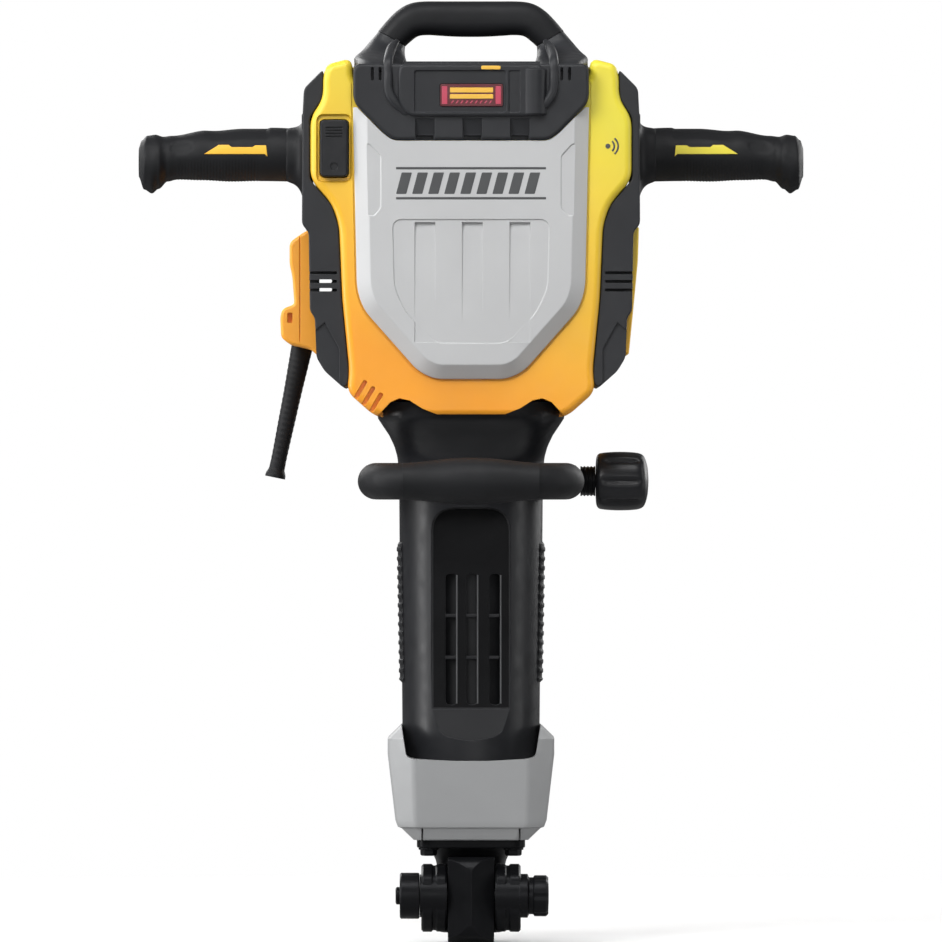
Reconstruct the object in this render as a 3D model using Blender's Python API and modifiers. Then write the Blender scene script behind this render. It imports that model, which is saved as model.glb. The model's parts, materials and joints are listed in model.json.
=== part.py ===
"""Corded hex-shank demolition hammer, built as an assembly of separate parts.

The origin is on the hammer axis, level with the foot of the tool retaining latch. +Z runs up the axis
to the carry handle, -Y is the front and +X is the operator's right hand as seen from the front.
Sizes below are millimetres, and the helpers turn them into metres.
"""

import math

import bmesh
import bpy
from mathutils import Matrix, Vector

MM = 0.001
GAP = 0.4
ROUND_STEPS = 24
SMALL_STEPS = 12

# Housing, seen from the front: right-hand half, from the top edge down to the middle of the foot.
HOUSING_FRONT_Y = -100
HOUSING_BACK_Y = 100
HOUSING_WALL = 5
HOUSING_SIDE = [
    (104.6, 761), (104.6, 783), (129.8, 770), (130.4, 746), (141.5, 729), (141.5, 675),
    (122.4, 653), (116.2, 634), (113.5, 570), (107.2, 506), (109.4, 488), (84, 465.5),
]
HOUSING_CAVITY_SIDE = [
    (100, 756), (125, 756), (125.4, 744), (136.5, 727), (136.5, 677), (117.4, 655),
    (111.2, 635), (108.5, 570), (102.2, 508), (103, 490), (81, 470.5),
]
FRONT_OPENING_SIDE = [(90, 745), (90, 580), (42, 520)]
PANEL_SIDE = [(68.6, 706.7), (103.9, 739), (100.5, 578), (94.5, 560), (46.7, 506), (33, 499)]
PANEL_POCKET_SIDE = [(66, 703), (97, 733), (95.5, 580), (90, 564), (44, 511), (32, 504)]
PANEL_FRONT_Y = -112
TOP_FRONT_Y = -114
TOP_BLOCK_FRONT_Y = -118
TOP_HALF_WIDTH = 103.7
TOP_Z = 774.7
TOP_CORNER_Z = 740.4
TOP_FOOT = (69, 708)
REAR_COVER_BACK_Y = 118

# Side covers: outer edge from the shoulder down to the lower tip.
SIDE_COVER_OUTER = [
    (148.2, 754), (149, 731), (149, 635), (143, 629), (142, 559), (137.5, 553), (136.4, 518),
]
SIDE_COVER_HALF_DEPTH = 92

# Carry handle.
CARRY_HALF_DEPTH = 17
CARRY_TOP_Z = 836

# Hammer line: heights along the axis and radii about it.
BORE_RADIUS = 26
SLIDER_RADIUS = 25.7
CYLINDER_RADIUS = 34
CYLINDER_Z = (256, 524)
BARREL_BORE = 34.3
STROKE_RADIUS = 20
ROD_LENGTH = 100
CRANK_Z = 590
WRIST_Z = CRANK_Z + STROKE_RADIUS - ROD_LENGTH
RAM_Z = (292, 392)
BEAT_PIECE_Z = (182, 291)
HEX_ACROSS_FLATS = 29.2
COLLAR_SEAT_Z = 30
COLLAR_SEAT_RADIUS = 23.5
HOLDER_Z = (8, 168)
HOLDER_RADIUS = 30
FLANGE_Z = (84, 91)
COLLAR_Z = (91.3, 193)
BARREL_COVER_Z = (150, 465.1)
NOSE_BOLT_OFFSET = 37.5
LATCH_PIN = (-50, 42)
LATCH_HALF_WIDTH = 20.5

# Gear train: axes run along Y. Modules, teeth and layers.
MOTOR_MODULE = 1.25
MOTOR_TEETH = 12
IDLER_TEETH = 57
CRANK_MODULE = 1.75
IDLER_PINION_TEETH = 12
CRANK_TEETH = 55
IDLER_Z = CRANK_Z + CRANK_MODULE * (IDLER_PINION_TEETH + CRANK_TEETH) / 2
MOTOR_Z = IDLER_Z + MOTOR_MODULE * (MOTOR_TEETH + IDLER_TEETH) / 2
SECOND_STAGE_Y = (54, 66)
FIRST_STAGE_Y = (68, 78)
GEAR_CASE_HALF_WIDTH = 60
GEAR_CASE_Y = (35, 80)
GEAR_CASE_Z = (480, 714)

# Handles.
HANDLE_Z = 698
HANDLE_PIVOT_X = 100
HANDLE_ARM_RADIUS = 15
HANDLE_SPRING_X = 78
GRIP_X = (157, 296)
GRIP_RADIUS = 23.5
ARM_HOLE_RADIUS = 20
BAIL_Z = 409
BAIL_ARM_X = 83.5
BAIL_REACH = 150
BAIL_CORNER = 38
BAIL_TUBE_RADIUS = 13
BAIL_GRIP_RADIUS = 20.3
BAND_RADIUS = (64.8, 67.6)
KNOB_X = (111, 158)
KNOB_RADIUS = 26

# Switch and cable.
ROCKER_CENTRE = (-120.4, -94, 702)
ROCKER_SIZE = (24.5, 50)
SLEEVE_Y = 70
SLEEVE_TOP = (-152.8, 520)
SLEEVE_END = (-176, 412)

FINISHES = {
    # name: (red, green, blue, metallic, roughness), linear light
    "yellow_plastic": (0.90, 0.42, 0.02, 0.0, 0.42),
    "charcoal_plastic": (0.042, 0.044, 0.047, 0.0, 0.55),
    "grey_plastic": (0.50, 0.51, 0.52, 0.0, 0.45),
    "black_rubber": (0.016, 0.016, 0.018, 0.0, 0.70),
    "black_plastic": (0.020, 0.021, 0.023, 0.0, 0.50),
    "black_steel": (0.018, 0.018, 0.019, 0.8, 0.45),
    "bright_steel": (0.55, 0.55, 0.56, 1.0, 0.28),
    "spring_steel": (0.35, 0.35, 0.37, 1.0, 0.35),
    "cast_aluminium": (0.42, 0.43, 0.44, 0.9, 0.50),
    "grey_casting": (0.36, 0.37, 0.37, 0.3, 0.50),
    "bronze": (0.45, 0.27, 0.10, 1.0, 0.40),
    "copper_winding": (0.50, 0.20, 0.08, 0.8, 0.45),
    "circuit_plastic": (0.02, 0.06, 0.05, 0.0, 0.50),
}

AXIS_TURN = {
    # matrix that carries the local +Z onto the named world direction
    "Z": Matrix.Identity(4),
    "X": Matrix.Rotation(math.radians(90), 4, "Y"),
    "-X": Matrix.Rotation(math.radians(-90), 4, "Y"),
    "Y": Matrix.Rotation(math.radians(-90), 4, "X"),
}


def clear_scene():
    for obj in list(bpy.data.objects):
        bpy.data.objects.remove(obj, do_unlink=True)


def new_collection(name):
    collection = bpy.data.collections.new(name)
    bpy.context.scene.collection.children.link(collection)
    return collection


clear_scene()
PARTS = new_collection("demolition_hammer")
CUTTERS = new_collection("cutters")
CUTTERS.hide_render = True


# ---------------------------------------------------------------- helpers


def material(finish):
    """The shared Principled material of one finish."""
    found = bpy.data.materials.get(finish)
    if found:
        return found
    red, green, blue, metallic, roughness = FINISHES[finish]
    made = bpy.data.materials.new(finish)
    made.use_nodes = True
    shader = made.node_tree.nodes["Principled BSDF"]
    shader.inputs["Base Color"].default_value = (red, green, blue, 1)
    shader.inputs["Metallic"].default_value = metallic
    shader.inputs["Roughness"].default_value = roughness
    return made


def add_object(name, data, finish=None):
    """Links data as a part, or as a hidden cutter where it has no finish."""
    obj = bpy.data.objects.new(name, data)
    if finish:
        PARTS.objects.link(obj)
        own = material(finish).copy()
        own.name = name + "_" + finish
        data.materials.append(own)
    else:
        CUTTERS.objects.link(obj)
        obj.hide_render = True
        obj.display_type = "WIRE"
    return obj


def place(obj, location):
    obj.location = [value * MM for value in location]
    return obj


def mesh_from(bm, name):
    bmesh.ops.recalc_face_normals(bm, faces=bm.faces)
    mesh = bpy.data.meshes.new(name)
    bm.to_mesh(mesh)
    bm.free()
    return mesh


def box(name, low, high, finish=None, bevel=0.0):
    """A block between two corners, with its origin at its middle."""
    bm = bmesh.new()
    bmesh.ops.create_cube(bm, size=1)
    size = [(b - a) * MM for a, b in zip(low, high)]
    bmesh.ops.scale(bm, vec=size, verts=bm.verts)
    obj = add_object(name, mesh_from(bm, name), finish)
    place(obj, [(a + b) / 2 for a, b in zip(low, high)])
    if bevel:
        soften(obj, bevel)
    return obj


def drum(name, radius, start, end, axis="Z", centre=(0, 0, 0), finish=None, steps=ROUND_STEPS):
    """A cylinder along an axis. start and end are measured from centre along it."""
    bm = bmesh.new()
    bmesh.ops.create_cone(
        bm, cap_ends=True, segments=steps, radius1=radius * MM, radius2=radius * MM, depth=(end - start) * MM
    )
    shift = Matrix.Translation((0, 0, (start + end) / 2 * MM))
    half_step = Matrix.Rotation(math.pi / steps, 4, "Z")
    bmesh.ops.transform(bm, matrix=AXIS_TURN[axis] @ shift @ half_step, verts=bm.verts)
    return place(add_object(name, mesh_from(bm, name), finish), centre)


def turned(name, profile, axis="Z", centre=(0, 0, 0), finish=None, steps=ROUND_STEPS, closed=False):
    """A turned piece. The profile is (radius, height) pairs running down the outer side."""
    mesh = bpy.data.meshes.new(name)
    points = [(radius * MM, 0, height * MM) for radius, height in profile]
    edges = [(i, i + 1) for i in range(len(points) - 1)]
    if closed:
        edges.append((len(points) - 1, 0))
    mesh.from_pydata(points, edges, [])
    obj = add_object(name, mesh, finish)
    obj.matrix_world = Matrix.Translation([value * MM for value in centre]) @ AXIS_TURN[axis]
    screw = obj.modifiers.new("turn", "SCREW")
    screw.steps = steps
    screw.render_steps = steps
    screw.use_merge_vertices = True
    screw.merge_threshold = 0.00001
    return obj


def ring(name, inner, outer, start, end, axis="Z", centre=(0, 0, 0), finish=None, steps=ROUND_STEPS):
    profile = [(outer, end), (outer, start), (inner, start), (inner, end)]
    return turned(name, profile, axis, centre, finish, steps, closed=True)


def as_mesh(curve_object, finish):
    """The mesh of a curve object, with its caps welded, in place of the curve."""
    bpy.context.view_layer.update()
    evaluated = curve_object.evaluated_get(bpy.context.evaluated_depsgraph_get())
    mesh = bpy.data.meshes.new_from_object(evaluated)
    mesh.materials.clear()
    bm = bmesh.new()
    bm.from_mesh(mesh)
    bmesh.ops.remove_doubles(bm, verts=bm.verts, dist=0.00001)
    bmesh.ops.dissolve_limit(bm, angle_limit=0.001, verts=bm.verts, edges=bm.edges)
    bmesh.ops.recalc_face_normals(bm, faces=bm.faces)
    bm.to_mesh(mesh)
    bm.free()
    name = curve_object.name
    matrix = curve_object.matrix_world.copy()
    bpy.data.objects.remove(curve_object, do_unlink=True)
    obj = add_object(name, mesh, finish)
    obj.matrix_world = matrix
    return obj


def prism(name, outline, low, high, axis="Y", centre=(0, 0, 0), finish=None, bevel=0.0, bevel_steps=1):
    """A flat outline pulled along Y or X. The outline is (x, z) pairs, or (y, z) pairs along X."""
    curve = bpy.data.curves.new(name, "CURVE")
    curve.dimensions = "2D"
    curve.fill_mode = "BOTH"
    curve.extrude = (high - low) / 2 * MM
    spline = curve.splines.new("POLY")
    spline.points.add(len(outline) - 1)
    for point, (across, up) in zip(spline.points, outline):
        point.co = (across * MM, up * MM, 0, 1)
    spline.use_cyclic_u = True
    obj = bpy.data.objects.new(name, curve)
    PARTS.objects.link(obj)
    turn = Matrix.Rotation(math.radians(90), 4, "X")
    middle = (low + high) / 2
    if axis == "Y":
        shift = (centre[0], centre[1] + middle, centre[2])
    else:
        turn = Matrix.Rotation(math.radians(90), 4, "Z") @ turn
        shift = (centre[0] + middle, centre[1], centre[2])
    obj.matrix_world = Matrix.Translation([value * MM for value in shift]) @ turn
    solid = as_mesh(obj, finish)
    if bevel:
        soften(solid, bevel, bevel_steps)
    return solid


def soften(obj, width, steps=1):
    bevel = obj.modifiers.new("soften", "BEVEL")
    bevel.width = width * MM
    bevel.segments = steps
    bevel.limit_method = "ANGLE"
    bevel.angle_limit = math.radians(40)


def boolean(obj, other, operation):
    modifier = obj.modifiers.new(operation.lower() + "_" + other.name, "BOOLEAN")
    modifier.operation = operation
    modifier.solver = "EXACT"
    modifier.object = other


def cut(obj, *others):
    for other in others:
        boolean(obj, other, "DIFFERENCE")


def join(obj, *others):
    for other in others:
        boolean(obj, other, "UNION")


def keep_common(obj, other):
    boolean(obj, other, "INTERSECT")


def both_sides(right_half):
    """A closed outline from its right-hand half, listed from the top down."""
    return right_half + [(-x, z) for x, z in reversed(right_half)]


def mirrored(outline):
    return [(-x, z) for x, z in outline]


def arc(centre, radius, start, end, steps):
    """Points on an arc, by angle in degrees."""
    angles = [math.radians(start + (end - start) * i / steps) for i in range(steps + 1)]
    return [(centre[0] + radius * math.cos(a), centre[1] + radius * math.sin(a)) for a in angles]


def set_origin(obj, point):
    """Moves the origin to a joint axis and leaves the shape where it is."""
    bpy.context.view_layer.update()
    target = Matrix.Translation([value * MM for value in point])
    obj.data.transform(target.inverted() @ obj.matrix_world)
    obj.matrix_world = target
    return obj


# ---------------------------------------------------------------- housing and covers


def main_housing():
    shell = prism(
        "main_housing", both_sides(HOUSING_SIDE), HOUSING_FRONT_Y, HOUSING_BACK_Y,
        finish="yellow_plastic", bevel=3,
    )
    front_inside = HOUSING_FRONT_Y + HOUSING_WALL
    cavity = prism("housing_cavity", both_sides(HOUSING_CAVITY_SIDE), front_inside, HOUSING_BACK_Y + 5)
    opening = prism("front_opening", both_sides(FRONT_OPENING_SIDE), HOUSING_FRONT_Y - 5, front_inside + 5)
    foot = drum("foot_opening", 64, 455, 480)
    half_width, half_height = ROCKER_SIZE[0] / 2 + 0.8, ROCKER_SIZE[1] / 2 + 2
    x, _, z = ROCKER_CENTRE
    rocker = box(
        "rocker_opening",
        (x - half_width, HOUSING_FRONT_Y - 5, z - half_height),
        (x + half_width, front_inside + 5, z + half_height),
    )
    cut(shell, cavity, opening, foot, rocker, CUT["left_arm_hole"], CUT["right_arm_hole"])


def front_cover():
    panel = prism(
        "front_cover", both_sides(PANEL_SIDE), PANEL_FRONT_Y, HOUSING_FRONT_Y - GAP,
        finish="grey_plastic", bevel=4,
    )
    pocket = prism("panel_pocket", both_sides(PANEL_POCKET_SIDE), PANEL_FRONT_Y + 4.5, HOUSING_FRONT_Y + 5)
    cut(panel, pocket)


def rear_cover():
    side = [(x, z) for x, z in HOUSING_SIDE if z != 761]
    panel = prism(
        "rear_cover", both_sides(side), HOUSING_BACK_Y + GAP, REAR_COVER_BACK_Y,
        finish="charcoal_plastic", bevel=9, bevel_steps=2,
    )
    pocket = prism(
        "rear_pocket", both_sides(HOUSING_CAVITY_SIDE), HOUSING_BACK_Y - 5, REAR_COVER_BACK_Y - HOUSING_WALL
    )
    cut(panel, pocket)


def top_cover():
    outline = both_sides([(TOP_HALF_WIDTH, TOP_Z), (TOP_HALF_WIDTH, TOP_CORNER_Z), TOP_FOOT])
    plate = prism(
        "top_cover", outline, TOP_FRONT_Y, HOUSING_FRONT_Y - GAP, finish="charcoal_plastic", bevel=2
    )
    roof = box(
        "top_roof", (-TOP_HALF_WIDTH, TOP_FRONT_Y + 3, 764.9), (TOP_HALF_WIDTH, HOUSING_BACK_Y, TOP_Z)
    )
    block = box("top_block", (-67, TOP_BLOCK_FRONT_Y, 729), (67, TOP_FRONT_Y + 5, 770))
    join(plate, roof, block)


def carry_handle():
    seam_outer, seam_inner = (84, 809), (60, 795)
    base = [(TOP_HALF_WIDTH, 785), seam_outer, seam_inner, (59.5, 787), (56.8, 781)]
    outline = [(TOP_HALF_WIDTH, TOP_Z + GAP)] + base + mirrored(list(reversed(base)))
    outline.append((-TOP_HALF_WIDTH, TOP_Z + GAP))
    prism(
        "carry_handle", outline, -CARRY_HALF_DEPTH, CARRY_HALF_DEPTH, finish="charcoal_plastic", bevel=1.5
    )
    lifted_outer = (seam_outer[0] - 0.2, seam_outer[1] + GAP)
    lifted_inner = (seam_inner[0] - 0.2, seam_inner[1] + GAP)
    outer = [lifted_outer, (76.5, 823), (61.5, 832.5), (37, CARRY_TOP_Z)]
    inner = [(39, 804.6), lifted_inner]
    loop = outer + mirrored(list(reversed(outer))) + mirrored(list(reversed(inner))) + inner
    prism(
        "carry_handle_grip", loop, -CARRY_HALF_DEPTH, CARRY_HALF_DEPTH,
        finish="black_rubber", bevel=5, bevel_steps=2,
    )


def side_cover(name, sign):
    shoulder = [point for point in HOUSING_SIDE if 488 <= point[1] <= 770 and point[0] > 106]
    inner = [(x + GAP, z) for x, z in shoulder]
    outline = SIDE_COVER_OUTER + list(reversed(inner))
    if sign < 0:
        outline = mirrored(outline)
    depth = SIDE_COVER_HALF_DEPTH
    cover = prism(name, outline, -depth, depth, finish="charcoal_plastic", bevel=2)
    xs = sorted((sign * 100, sign * 133))
    hollow = box(name + "_hollow", (xs[0], -depth + 6, 560), (xs[1], depth - 6, 645))
    side = "left" if sign < 0 else "right"
    cut(cover, hollow, CUT[side + "_arm_hole"])


def cable_inlet_cover():
    outline = [
        (-143.8, 627), (-149.6, 633), (-162, 619), (-158, 567), (-163, 560), (-169.7, 557), (-169.7, 535),
        (-160, 527), (-137.2, 518.5), (-138, 552.6), (-142.7, 559),
    ]
    prism("cable_inlet_cover", outline, -20, 86, finish="yellow_plastic", bevel=3)


def strain_relief_sleeve():
    """A tapered sleeve that hangs from the cable inlet, with a flared end."""
    curve = bpy.data.curves.new("strain_relief_sleeve", "CURVE")
    curve.dimensions = "3D"
    curve.bevel_depth = MM
    curve.bevel_resolution = 4
    curve.use_fill_caps = True
    spline = curve.splines.new("POLY")
    stations = [(0, 9.5), (0.5, 8.2), (0.93, 6.8), (0.96, 9), (1, 9)]
    spline.points.add(len(stations) - 1)
    for point, (share, radius) in zip(spline.points, stations):
        x = SLEEVE_TOP[0] + (SLEEVE_END[0] - SLEEVE_TOP[0]) * share
        z = SLEEVE_TOP[1] + (SLEEVE_END[1] - SLEEVE_TOP[1]) * share
        point.co = (x * MM, SLEEVE_Y * MM, z * MM, 1)
        point.radius = radius
    obj = bpy.data.objects.new("strain_relief_sleeve", curve)
    PARTS.objects.link(obj)
    as_mesh(obj, "black_rubber")


def power_rocker():
    """A two-faced rocker. It turns about the X axis through its middle."""
    x, y, z = ROCKER_CENTRE
    half = ROCKER_SIZE[1] / 2
    outline = [
        (y - 8, z + half), (y - 9.5, z), (y - 12, z - half), (y, z - half), (y + 6, z), (y, z + half),
    ]
    width = ROCKER_SIZE[0] / 2
    rocker = prism(
        "power_rocker", outline, x - width, x + width, axis="X", finish="black_plastic", bevel=1.5
    )
    set_origin(rocker, ROCKER_CENTRE)
    box("switch_body", (x - 11, y + 10, z - 22), (x + 11, y + 32, z + 22), "black_plastic", bevel=1)


# ---------------------------------------------------------------- hammer line


def barrel():
    profile = [(62, 470.6), (62, 458), (46, 448), (46, 150.4), (42, 150.4), (42, 91.4),
               (BARREL_BORE, 91.4), (BARREL_BORE, 470.6)]
    turned("barrel", profile, finish="cast_aluminium", closed=True)


def barrel_cover():
    low, high = BARREL_COVER_Z
    outer = [(80.5, high), (73, 450), (66.8, 437), (64.3, 426), (64, 355), (61, 230), (61, low)]
    inner = [(57, low), (57, 230), (60, 355), (60.3, 426), (69, 450), (76.5, high)]
    cover = turned("barrel_cover", outer + inner, finish="black_plastic", closed=True, steps=32)
    for column in (-19, 0, 19):
        for bottom, top in ((210, 247), (252, 285), (291, 326)):
            slot = box(
                f"vent_{column}_{bottom}", (column - 4.7, -70, bottom), (column + 4.7, -50, top)
            )
            cut(cover, slot)


def nose_collar():
    """Grey casting round the foot of the barrel, with a raised ear on each side."""
    low, high = COLLAR_Z
    side = [(62.5, high), (73.8, 181), (73.8, 168), (67, 109), (64, 101), (50.5, low)]
    collar = prism("nose_collar", both_sides(side), -68, 68, finish="grey_casting", bevel=2)
    depth_side = [(60, high), (67.5, 181), (67.5, 168), (64, 109), (61, 101), (50.5, low)]
    cheeks = prism("collar_depth", both_sides(depth_side), -80, 80, axis="X")
    keep_common(collar, cheeks)
    for name, turn in (("right", 45), ("left", -45)):
        trimmer = box("collar_corner_" + name, (-76, -100, low - 5), (76, 100, high + 5))
        trimmer.rotation_euler = (0, 0, math.radians(turn))
        keep_common(collar, trimmer)
    saddle = prism(
        "collar_saddle", both_sides([(62, high + 5), (57.4, 165.5), (10, 161)]), -100, 100, axis="Y"
    )
    cut(
        collar, saddle, drum("collar_bore", 61.5, 149.6, high + 5, steps=32),
        drum("collar_neck_bore", 42.5, low - 5, 155), *BOLT_HOLES,
    )


def nose_flange():
    half = 48
    plate = box(
        "nose_flange", (-half, -half, FLANGE_Z[0]), (half, half, FLANGE_Z[1]), "black_steel", bevel=1.5
    )
    cut(plate, drum("flange_bore", HOLDER_RADIUS + 0.5, FLANGE_Z[0] - 5, FLANGE_Z[1] + 5), *BOLT_HOLES)


def nose_bolts():
    profile = [(0, 104), (3.8, 104), (3.8, FLANGE_Z[0] - 0.3), (7.5, FLANGE_Z[0] - 0.3), (7.5, 77), (0, 77)]
    corners = [(-1, -1), (1, -1), (1, 1), (-1, 1)]
    for number, (along_x, along_y) in enumerate(corners, 1):
        centre = (along_x * NOSE_BOLT_OFFSET, along_y * NOSE_BOLT_OFFSET, 0)
        turned(f"nose_bolt_{number}", profile, centre=centre, finish="black_steel", steps=6)


def tool_holder():
    """Hex socket with a seat for the tool's collar, and the cross boss that carries the latch pin."""
    low, high = HOLDER_Z
    wide = BARREL_BORE - GAP
    profile = [(0, high), (wide, high), (wide, FLANGE_Z[1] + 0.8), (HOLDER_RADIUS, FLANGE_Z[1] + 0.8),
               (HOLDER_RADIUS, low), (0, low)]
    holder = turned("tool_holder", profile, finish="black_steel")
    y, z = LATCH_PIN
    join(
        holder,
        box("cross_block", (-43, y, z - 17), (43, -12, z + 18)),
        drum("cross_barrel", 19, -45, 45, "X", (0, y, z)),
        drum("right_cap", 16, 40, 69, "X", (0, y, z)),
    )
    corner = HEX_ACROSS_FLATS / 2 / math.cos(math.radians(30))
    socket = drum("hex_socket", corner, low - 5, high + 5, steps=6)
    socket.rotation_euler = (0, 0, math.radians(30))
    slot = box("latch_slot", (-21, y - 30, low - 5), (21, -25.5, 71))
    cut(
        holder, slot, socket, drum("collar_seat", COLLAR_SEAT_RADIUS, low - 5, COLLAR_SEAT_Z),
        drum("pin_hole", 6.4, -60, 60, "X", (0, y, z), steps=SMALL_STEPS),
    )


def latch_pin():
    y, z = LATCH_PIN
    profile = [(0, 59), (6, 59), (6, -45.4), (20.5, -45.4), (20.5, -63), (8, -63), (8, -66.8), (0, -66.8)]
    turned("latch_pin", profile, "X", (0, y, z), "black_steel", steps=SMALL_STEPS)


def retaining_latch():
    """Lever on the cross pin. Its hook holds the tool's collar, and it swings out to let the tool go."""
    y, z = LATCH_PIN
    shape = [
        (-6, 34), (-14, 30), (-17, 8), (-17, -8), (-14, -30), (-4, -42), (28, -42), (30, -40), (30, -35),
        (4, -33), (6, -14), (14, -8), (16, 0), (12, 11), (2, 16), (0, 32),
    ]
    outline = [(y + across, z + up) for across, up in shape]
    half = LATCH_HALF_WIDTH
    latch = prism("retaining_latch", outline, -half, half, axis="X", finish="black_steel", bevel=1.5)
    cut(latch, drum("latch_bore", 6.4, -30, 30, "X", (0, y, z), steps=SMALL_STEPS))
    set_origin(latch, (0, y, z))


def impact_line():
    """Everything that slides inside the barrel."""
    low, high = CYLINDER_Z
    ring("cylinder", BORE_RADIUS, CYLINDER_RADIUS, low, high, finish="bright_steel")
    ring("beat_piece_bush", 22.3, CYLINDER_RADIUS, 181, 255, finish="bronze")
    ring("damper_ring", 24, CYLINDER_RADIUS, 169, 180, finish="black_rubber")
    foot, head = BEAT_PIECE_Z
    beat = [(0, head), (22, head), (25.5, head - 3), (25.5, 272), (22, 268), (22, foot + 3), (19, foot), (0, foot)]
    turned("beat_piece", beat, finish="bright_steel")
    foot, head = RAM_Z
    ram = [(0, head), (SLIDER_RADIUS, head), (SLIDER_RADIUS, foot + 20), (20, foot), (0, foot)]
    turned("ram", ram, finish="bright_steel")
    foot, head = WRIST_Z - 18, WRIST_Z + 12
    cup = [(19, head), (SLIDER_RADIUS, head), (SLIDER_RADIUS, foot), (0, foot)]
    piston = turned("piston", [(0, foot + 6), (19, foot + 6)] + cup, finish="cast_aluminium")
    cut(piston, drum("wrist_hole", 6.4, -40, 40, "Y", (0, 0, WRIST_Z), steps=SMALL_STEPS))
    drum("wrist_pin", 6, -24, 24, "Y", (0, 0, WRIST_Z), "bright_steel", SMALL_STEPS)


def connecting_rod():
    """Small end on the wrist pin, big end level with the crank pin."""
    big_z = WRIST_Z + ROD_LENGTH
    outline = arc((0, WRIST_Z), 11, 150, 390, 10) + arc((0, big_z), 15, -30, 210, 10)
    rod = prism("connecting_rod", outline, -8, 8, finish="bright_steel")
    cut(
        rod, drum("small_end", 6.4, -20, 20, "Y", (0, 0, WRIST_Z), steps=SMALL_STEPS),
        drum("big_end", 9, -20, 20, "Y", (0, 0, big_z), steps=SMALL_STEPS),
    )
    set_origin(rod, (0, 0, WRIST_Z))


# ---------------------------------------------------------------- gear train and motor


def involute(angle):
    return math.tan(angle) - angle


def gear_outline(teeth, module, centre_z, phase):
    """A spur gear with 20 degree involute flanks and a little backlash, as (x, z) points."""
    pressure = math.radians(20)
    backlash = 0.3
    pitch = teeth * module / 2
    base = pitch * math.cos(pressure)
    root = pitch - 1.25 * module
    tip = pitch + 0.8 * module
    start = max(root, base)
    radii = [start, tip] if teeth > 20 else [start, (start + tip) / 2, tip]
    if start - root > 0.01:
        radii.insert(0, root)

    def half_width(radius):
        angle = math.acos(min(1, base / max(radius, base)))
        return math.pi / (2 * teeth) + involute(pressure) - involute(angle) - backlash / (2 * pitch)

    points = []
    for tooth in range(teeth):
        middle = phase + 2 * math.pi * tooth / teeth
        sides = [(r, middle - half_width(r)) for r in radii]
        sides += [(r, middle + half_width(r)) for r in reversed(radii)]
        points += [(r * math.cos(a), centre_z + r * math.sin(a)) for r, a in sides]
    return points


def gear_train():
    """The crank gear has a tooth pointing up, and each gear above it has a gap there."""
    up, down = math.radians(90), math.radians(-90)
    crank_gear = prism(
        "crank_gear", gear_outline(CRANK_TEETH, CRANK_MODULE, CRANK_Z, up), *SECOND_STAGE_Y,
        finish="bright_steel",
    )
    cut(crank_gear, drum("crank_gear_bore", 12.4, 40, 80, "Y", (0, 0, CRANK_Z), steps=SMALL_STEPS))
    set_origin(crank_gear, (0, 0, CRANK_Z))

    pinion_phase = down + math.pi / IDLER_PINION_TEETH
    idler = drum("idler_shaft", 6, 35.6, 92, "Y", (0, 0, IDLER_Z), "bright_steel", SMALL_STEPS)
    pinion = prism(
        "idler_pinion", gear_outline(IDLER_PINION_TEETH, CRANK_MODULE, IDLER_Z, pinion_phase), *SECOND_STAGE_Y
    )
    join(idler, pinion)

    idler_gear = prism(
        "idler_gear", gear_outline(IDLER_TEETH, MOTOR_MODULE, IDLER_Z, up), *FIRST_STAGE_Y,
        finish="bright_steel",
    )
    cut(idler_gear, drum("idler_gear_bore", 6.4, 50, 100, "Y", (0, 0, IDLER_Z), steps=SMALL_STEPS))
    set_origin(idler_gear, (0, 0, IDLER_Z))

    shaft = drum("motor_shaft", 5.5, -98, 72, "Y", (0, 0, MOTOR_Z), "bright_steel", SMALL_STEPS)
    motor_phase = down + math.pi / MOTOR_TEETH
    pinion = prism(
        "motor_pinion", gear_outline(MOTOR_TEETH, MOTOR_MODULE, MOTOR_Z, motor_phase), *FIRST_STAGE_Y
    )
    join(shaft, pinion)


def crankshaft():
    """Web and journal. The crank pin is a stub that stops short of the connecting rod."""
    journal = drum("crankshaft", 12, 20, 92, "Y", (0, 0, CRANK_Z), "bright_steel", SMALL_STEPS)
    join(
        journal,
        drum("crank_web", 33, 12, 24, "Y", (0, 0, CRANK_Z)),
        drum("crank_pin", 8, 8.6, 18, "Y", (0, 0, CRANK_Z + STROKE_RADIUS), steps=SMALL_STEPS),
    )
    for name, start, end in (("front", 36.5, 49), ("rear", 81, 92)):
        ring(
            f"crank_bearing_{name}", 12.4, 21.6, start, end, "Y", (0, 0, CRANK_Z), "bright_steel",
            SMALL_STEPS * 2,
        )


def gear_case():
    """Casting that stands on the barrel, with a rear chamber for the gears."""
    half, (front, back), (low, high) = GEAR_CASE_HALF_WIDTH, GEAR_CASE_Y, GEAR_CASE_Z
    case = box("gear_case", (-half, front, low), (half, back, high), "cast_aluminium", bevel=3)
    join(case, drum("case_foot", 62, 471, 484))
    chamber = box("gear_chamber", (-half + 6, 50, 534), (half - 6, back + 5, high - 6))
    cut(
        case, chamber, drum("cylinder_hole", CYLINDER_RADIUS + GAP, 465, 490),
        drum("bearing_hole", 22, 30, 60, "Y", (0, 0, CRANK_Z)),
        drum("idler_hole", 6.5, 30, 60, "Y", (0, 0, IDLER_Z), steps=SMALL_STEPS),
        drum("motor_hole", 6.5, 30, 60, "Y", (0, 0, MOTOR_Z), steps=SMALL_STEPS),
    )
    lid = box("gear_cover", (-half, back + GAP, low + 4), (half, back + 13, high), "cast_aluminium", bevel=3)
    cut(
        lid, drum("lid_bearing_hole", 22, 70, 110, "Y", (0, 0, CRANK_Z)),
        drum("lid_idler_hole", 6.5, 70, 110, "Y", (0, 0, IDLER_Z), steps=SMALL_STEPS),
    )


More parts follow.
